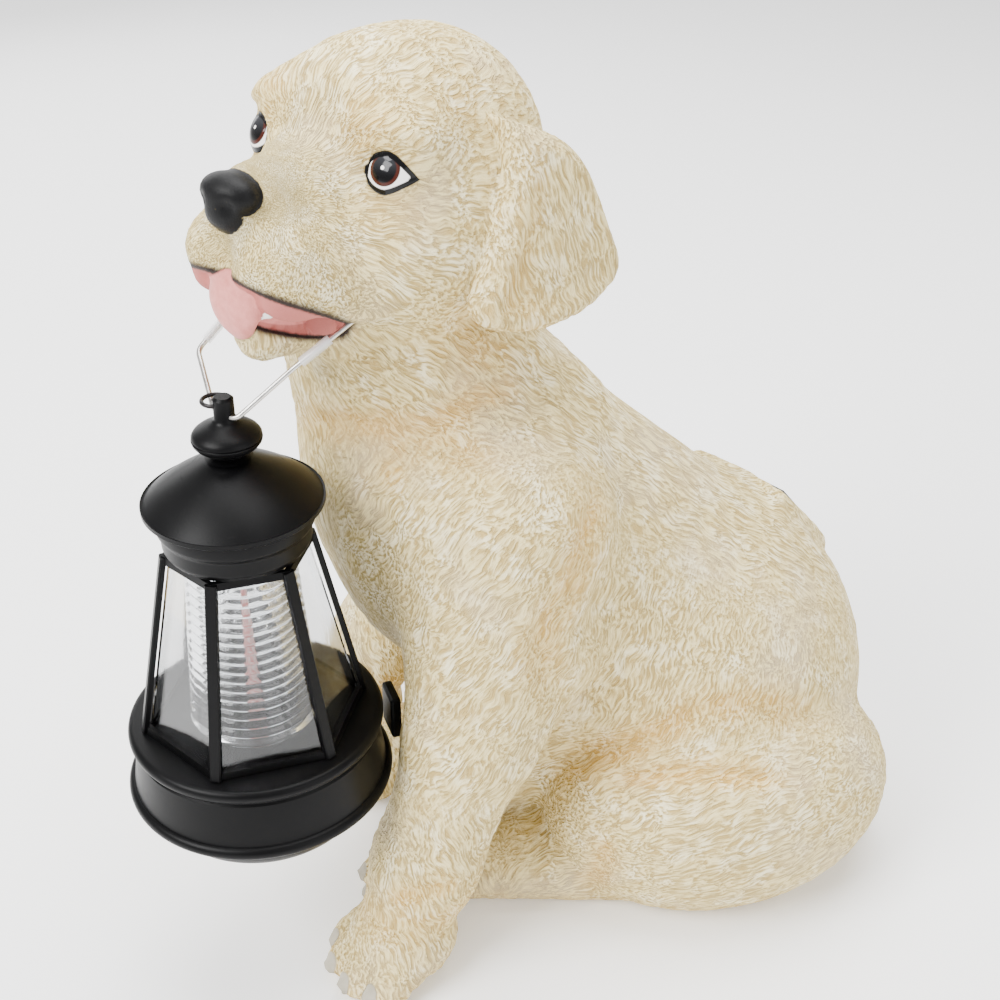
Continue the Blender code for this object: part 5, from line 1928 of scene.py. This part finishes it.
@dataclass
class Bail:
    """The bent wire, its two sleeves and the small ring."""

    lantern: Lantern
    puppy: Puppy
    wire: float = 0.00075
    sleeve_wall: float = 0.0004
    sleeve_span: tuple[float, float] = (0.14, 0.62)
    foot_half: float = 0.0046
    kink_left: tuple[float, float] = (0.0110, 0.50)
    kink_right: tuple[float, float] = (0.0235, 0.34)
    bend: float = 0.0022
    mouth_corner: tuple[float, float, float] = (20.0, -33.0, -31.5)
    ring_radius: float = 0.0036
    ring_wire: float = 0.0006
    ring_rise: float = 0.0030

    def side(self) -> Vector:
        """Horizontal direction across the mouth."""
        return Vector((cos(HEAD_YAW), sin(HEAD_YAW), 0.0))

    def hole(self) -> Vector:
        """Where the wire passes the stem."""
        return self.lantern.centre + Vector((0.0, 0.0, self.lantern.hole - self.lantern.stem_radius * 0.9))

    def corners(self) -> list[Vector]:
        """Corners of the wire from one mouth corner to the other.

        Returns:
            Six corners.
        """
        turn = Matrix(self.puppy.figure.turn.tolist())
        x, y, z = self.mouth_corner
        left, right = ((Vector(HEAD_CENTRE) + turn @ Vector((out, y, z))) * UNIT + self.lantern.shift
                       for out in (x, -x))
        side, hole = self.side(), self.hole()
        middle = (left + right) / 2.0 - hole
        rise = middle - side * middle.dot(side)
        return [left, hole + side * self.kink_left[0] + rise * self.kink_left[1],
                hole + side * self.foot_half, hole - side * self.foot_half,
                hole - side * self.kink_right[0] + rise * self.kink_right[1], right]

    def path(self) -> list[Vector]:
        """The wire's line with its corners bent round.

        Returns:
            Points along the wire.
        """
        corners = self.corners()
        points = [corners[0]]
        for before, here, after in zip(corners, corners[1:], corners[2:]):
            back, ahead = (before - here).normalized() * self.bend, (after - here).normalized() * self.bend
            points += [here + back * (1 - k / 8) ** 2 + ahead * (k / 8) ** 2 for k in range(9)]
        return points + [corners[-1]]

    def sleeve(self, name: str, low: Vector, high: Vector) -> bpy.types.Mesh:
        """One clear sleeve on a run of the wire.

        Args:
            name: the mesh's name.
            low, high: ends of the run.

        Returns:
            The mesh.
        """
        run = high - low
        start, end = low + run * self.sleeve_span[0], low + run * self.sleeve_span[1]
        first = run.orthogonal().normalized()
        second = run.normalized().cross(first)
        bore = self.wire + 0.0003
        rings = [[point + radius * (cos(2 * pi * k / 20) * first + sin(2 * pi * k / 20) * second)
                  for k in range(20)]
                 for point, radius in ((start, bore), (start, bore + self.sleeve_wall),
                                       (end, bore + self.sleeve_wall), (end, bore))]
        bm = bmesh.new()
        loft(bm, rings, True)
        return mesh_of(bm, name, 50)

    def ring(self) -> bpy.types.Mesh:
        """Small level ring through the stem.

        Returns:
            The mesh, in metres.
        """
        outward = -self.side()
        through = Vector((0.0, 0.0, 1.0)).cross(outward)
        hub = self.hole() + Vector((0.0, 0.0, self.ring_rise)) + outward * self.ring_radius
        points = [hub + self.ring_radius * (sin(2 * pi * k / 48) * through - cos(2 * pi * k / 48) * outward)
                  for k in range(48)]
        return tube("hanging_loop", points, self.ring_wire, 14, True)

    def build(self) -> None:
        """Make and dress the wire, its sleeves and the ring."""
        steel = WireFinish("bright drawn wire", paint(206, 204, 200), paint(140, 134, 126), 0.24).material()
        dark = WireFinish("blackened wire", paint(52, 50, 50), paint(30, 28, 28), 0.35).material()
        sleeve = ClearFinish(name="clear sleeve", transmission=0.0, alpha=0.30).material()
        add_piece("bail_wire", tube("bail_wire", self.path(), self.wire), steel, "steel_wire", "bail")
        add_piece("hanging_loop", self.ring(), dark, "dark_wire", "hanging_ring")
        corners = self.corners()
        for name, low, high in (("left", corners[1], corners[0]), ("right", corners[-2], corners[-1])):
            add_piece("sleeve_" + name, self.sleeve("sleeve_" + name, low, high), sleeve, "clear_plastic",
                      "bail_sleeve_" + name)


@dataclass
class Studio:
    """Floor, lights and camera."""

    shift: Vector
    eye: tuple[float, float, float] = (411.9, -98.9, 390.5)
    heading: float = radians(12.0)
    pitch: float = radians(31.5)
    lens: float = 54.0

    def floor(self) -> None:
        """Lay the floor."""
        bm = bmesh.new()
        bmesh.ops.create_grid(bm, x_segments=1, y_segments=1, size=6.0)
        mesh = mesh_of(bm, "floor")
        mesh.materials.append(FloorFinish().material())
        ground = link("floor", mesh)
        ground.location.z = -0.0002

    def light(self, name: str, place: Point, aim: Point, size: float, power: float) -> None:
        """One square soft light.

        Args:
            name: the light's name.
            place: where it stands.
            aim: where it points.
            size: its side.
            power: in watts.
        """
        data = bpy.data.lights.new(name, "AREA")
        data.shape, data.size, data.energy = "SQUARE", size, power
        lamp = bpy.data.objects.new(name, data)
        lamp.location = place
        lamp.rotation_euler = (Vector(aim) - Vector(place)).to_track_quat("-Z", "Y").to_euler()
        bpy.context.scene.collection.objects.link(lamp)

    def world(self) -> None:
        """Even pale surroundings."""
        sky = bpy.data.worlds.new("surroundings")
        sky.use_nodes = True
        back = sky.node_tree.nodes["Background"]
        back.inputs["Color"].default_value = (1.0, 1.0, 1.0, 1.0)
        back.inputs["Strength"].default_value = 0.8
        bpy.context.scene.world = sky

    def camera(self) -> None:
        """Stand the camera where the photograph was taken from."""
        data = bpy.data.cameras.new("camera")
        data.lens, data.sensor_width = self.lens, 36.0
        data.clip_start, data.clip_end = 0.01, 50.0
        made = bpy.data.objects.new("camera", data)
        made.location = Vector(self.eye) * UNIT + self.shift
        ahead = Vector((-cos(self.heading) * cos(self.pitch), sin(self.heading) * cos(self.pitch),
                        -sin(self.pitch)))
        made.rotation_euler = ahead.to_track_quat("-Z", "Y").to_euler()
        bpy.context.scene.collection.objects.link(made)
        bpy.context.scene.camera = made

    def build(self) -> None:
        """Set up the studio."""
        self.floor()
        self.world()
        self.light("key", (0.5, -1.1, 1.2), (0.0, 0.0, 0.15), 0.8, 46.0)
        self.light("fill", (1.1, 0.8, 0.7), (0.0, 0.0, 0.12), 1.0, 8.0)
        self.light("top", (-0.2, 0.1, 1.3), (0.0, 0.0, 0.1), 1.0, 34.0)
        self.light("back", (-1.0, -0.3, 0.6), (0.0, 0.0, 0.15), 0.8, 6.0)
        self.camera()


def figure_shift() -> Vector:
    """From the figure's origin to the part's, in metres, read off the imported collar.

    Returns:
        The shift.
    """
    low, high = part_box("lantern_collar")
    middle = (low + high) / 2.0
    return Vector((middle.x - LANTERN_AXIS[0] * UNIT, middle.y - LANTERN_AXIS[1] * UNIT, 0.0))


def main() -> None:
    """Build and dress the statue and its studio."""
    logging.basicConfig(level=logging.INFO, format="%(message)s")
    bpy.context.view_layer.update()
    shift = figure_shift()
    studio = Studio(shift)
    studio.build()
    puppy = Puppy(shift=shift)
    puppy.build(ResinFinish().material(puppy))
    lantern = Lantern(shift)
    lantern.build()
    Bail(lantern, puppy).build()
    frame["nodes"]["solar_panel"].material_slots[0].material = CellFinish().material(shift)


if __name__ == "__main__":
    main()
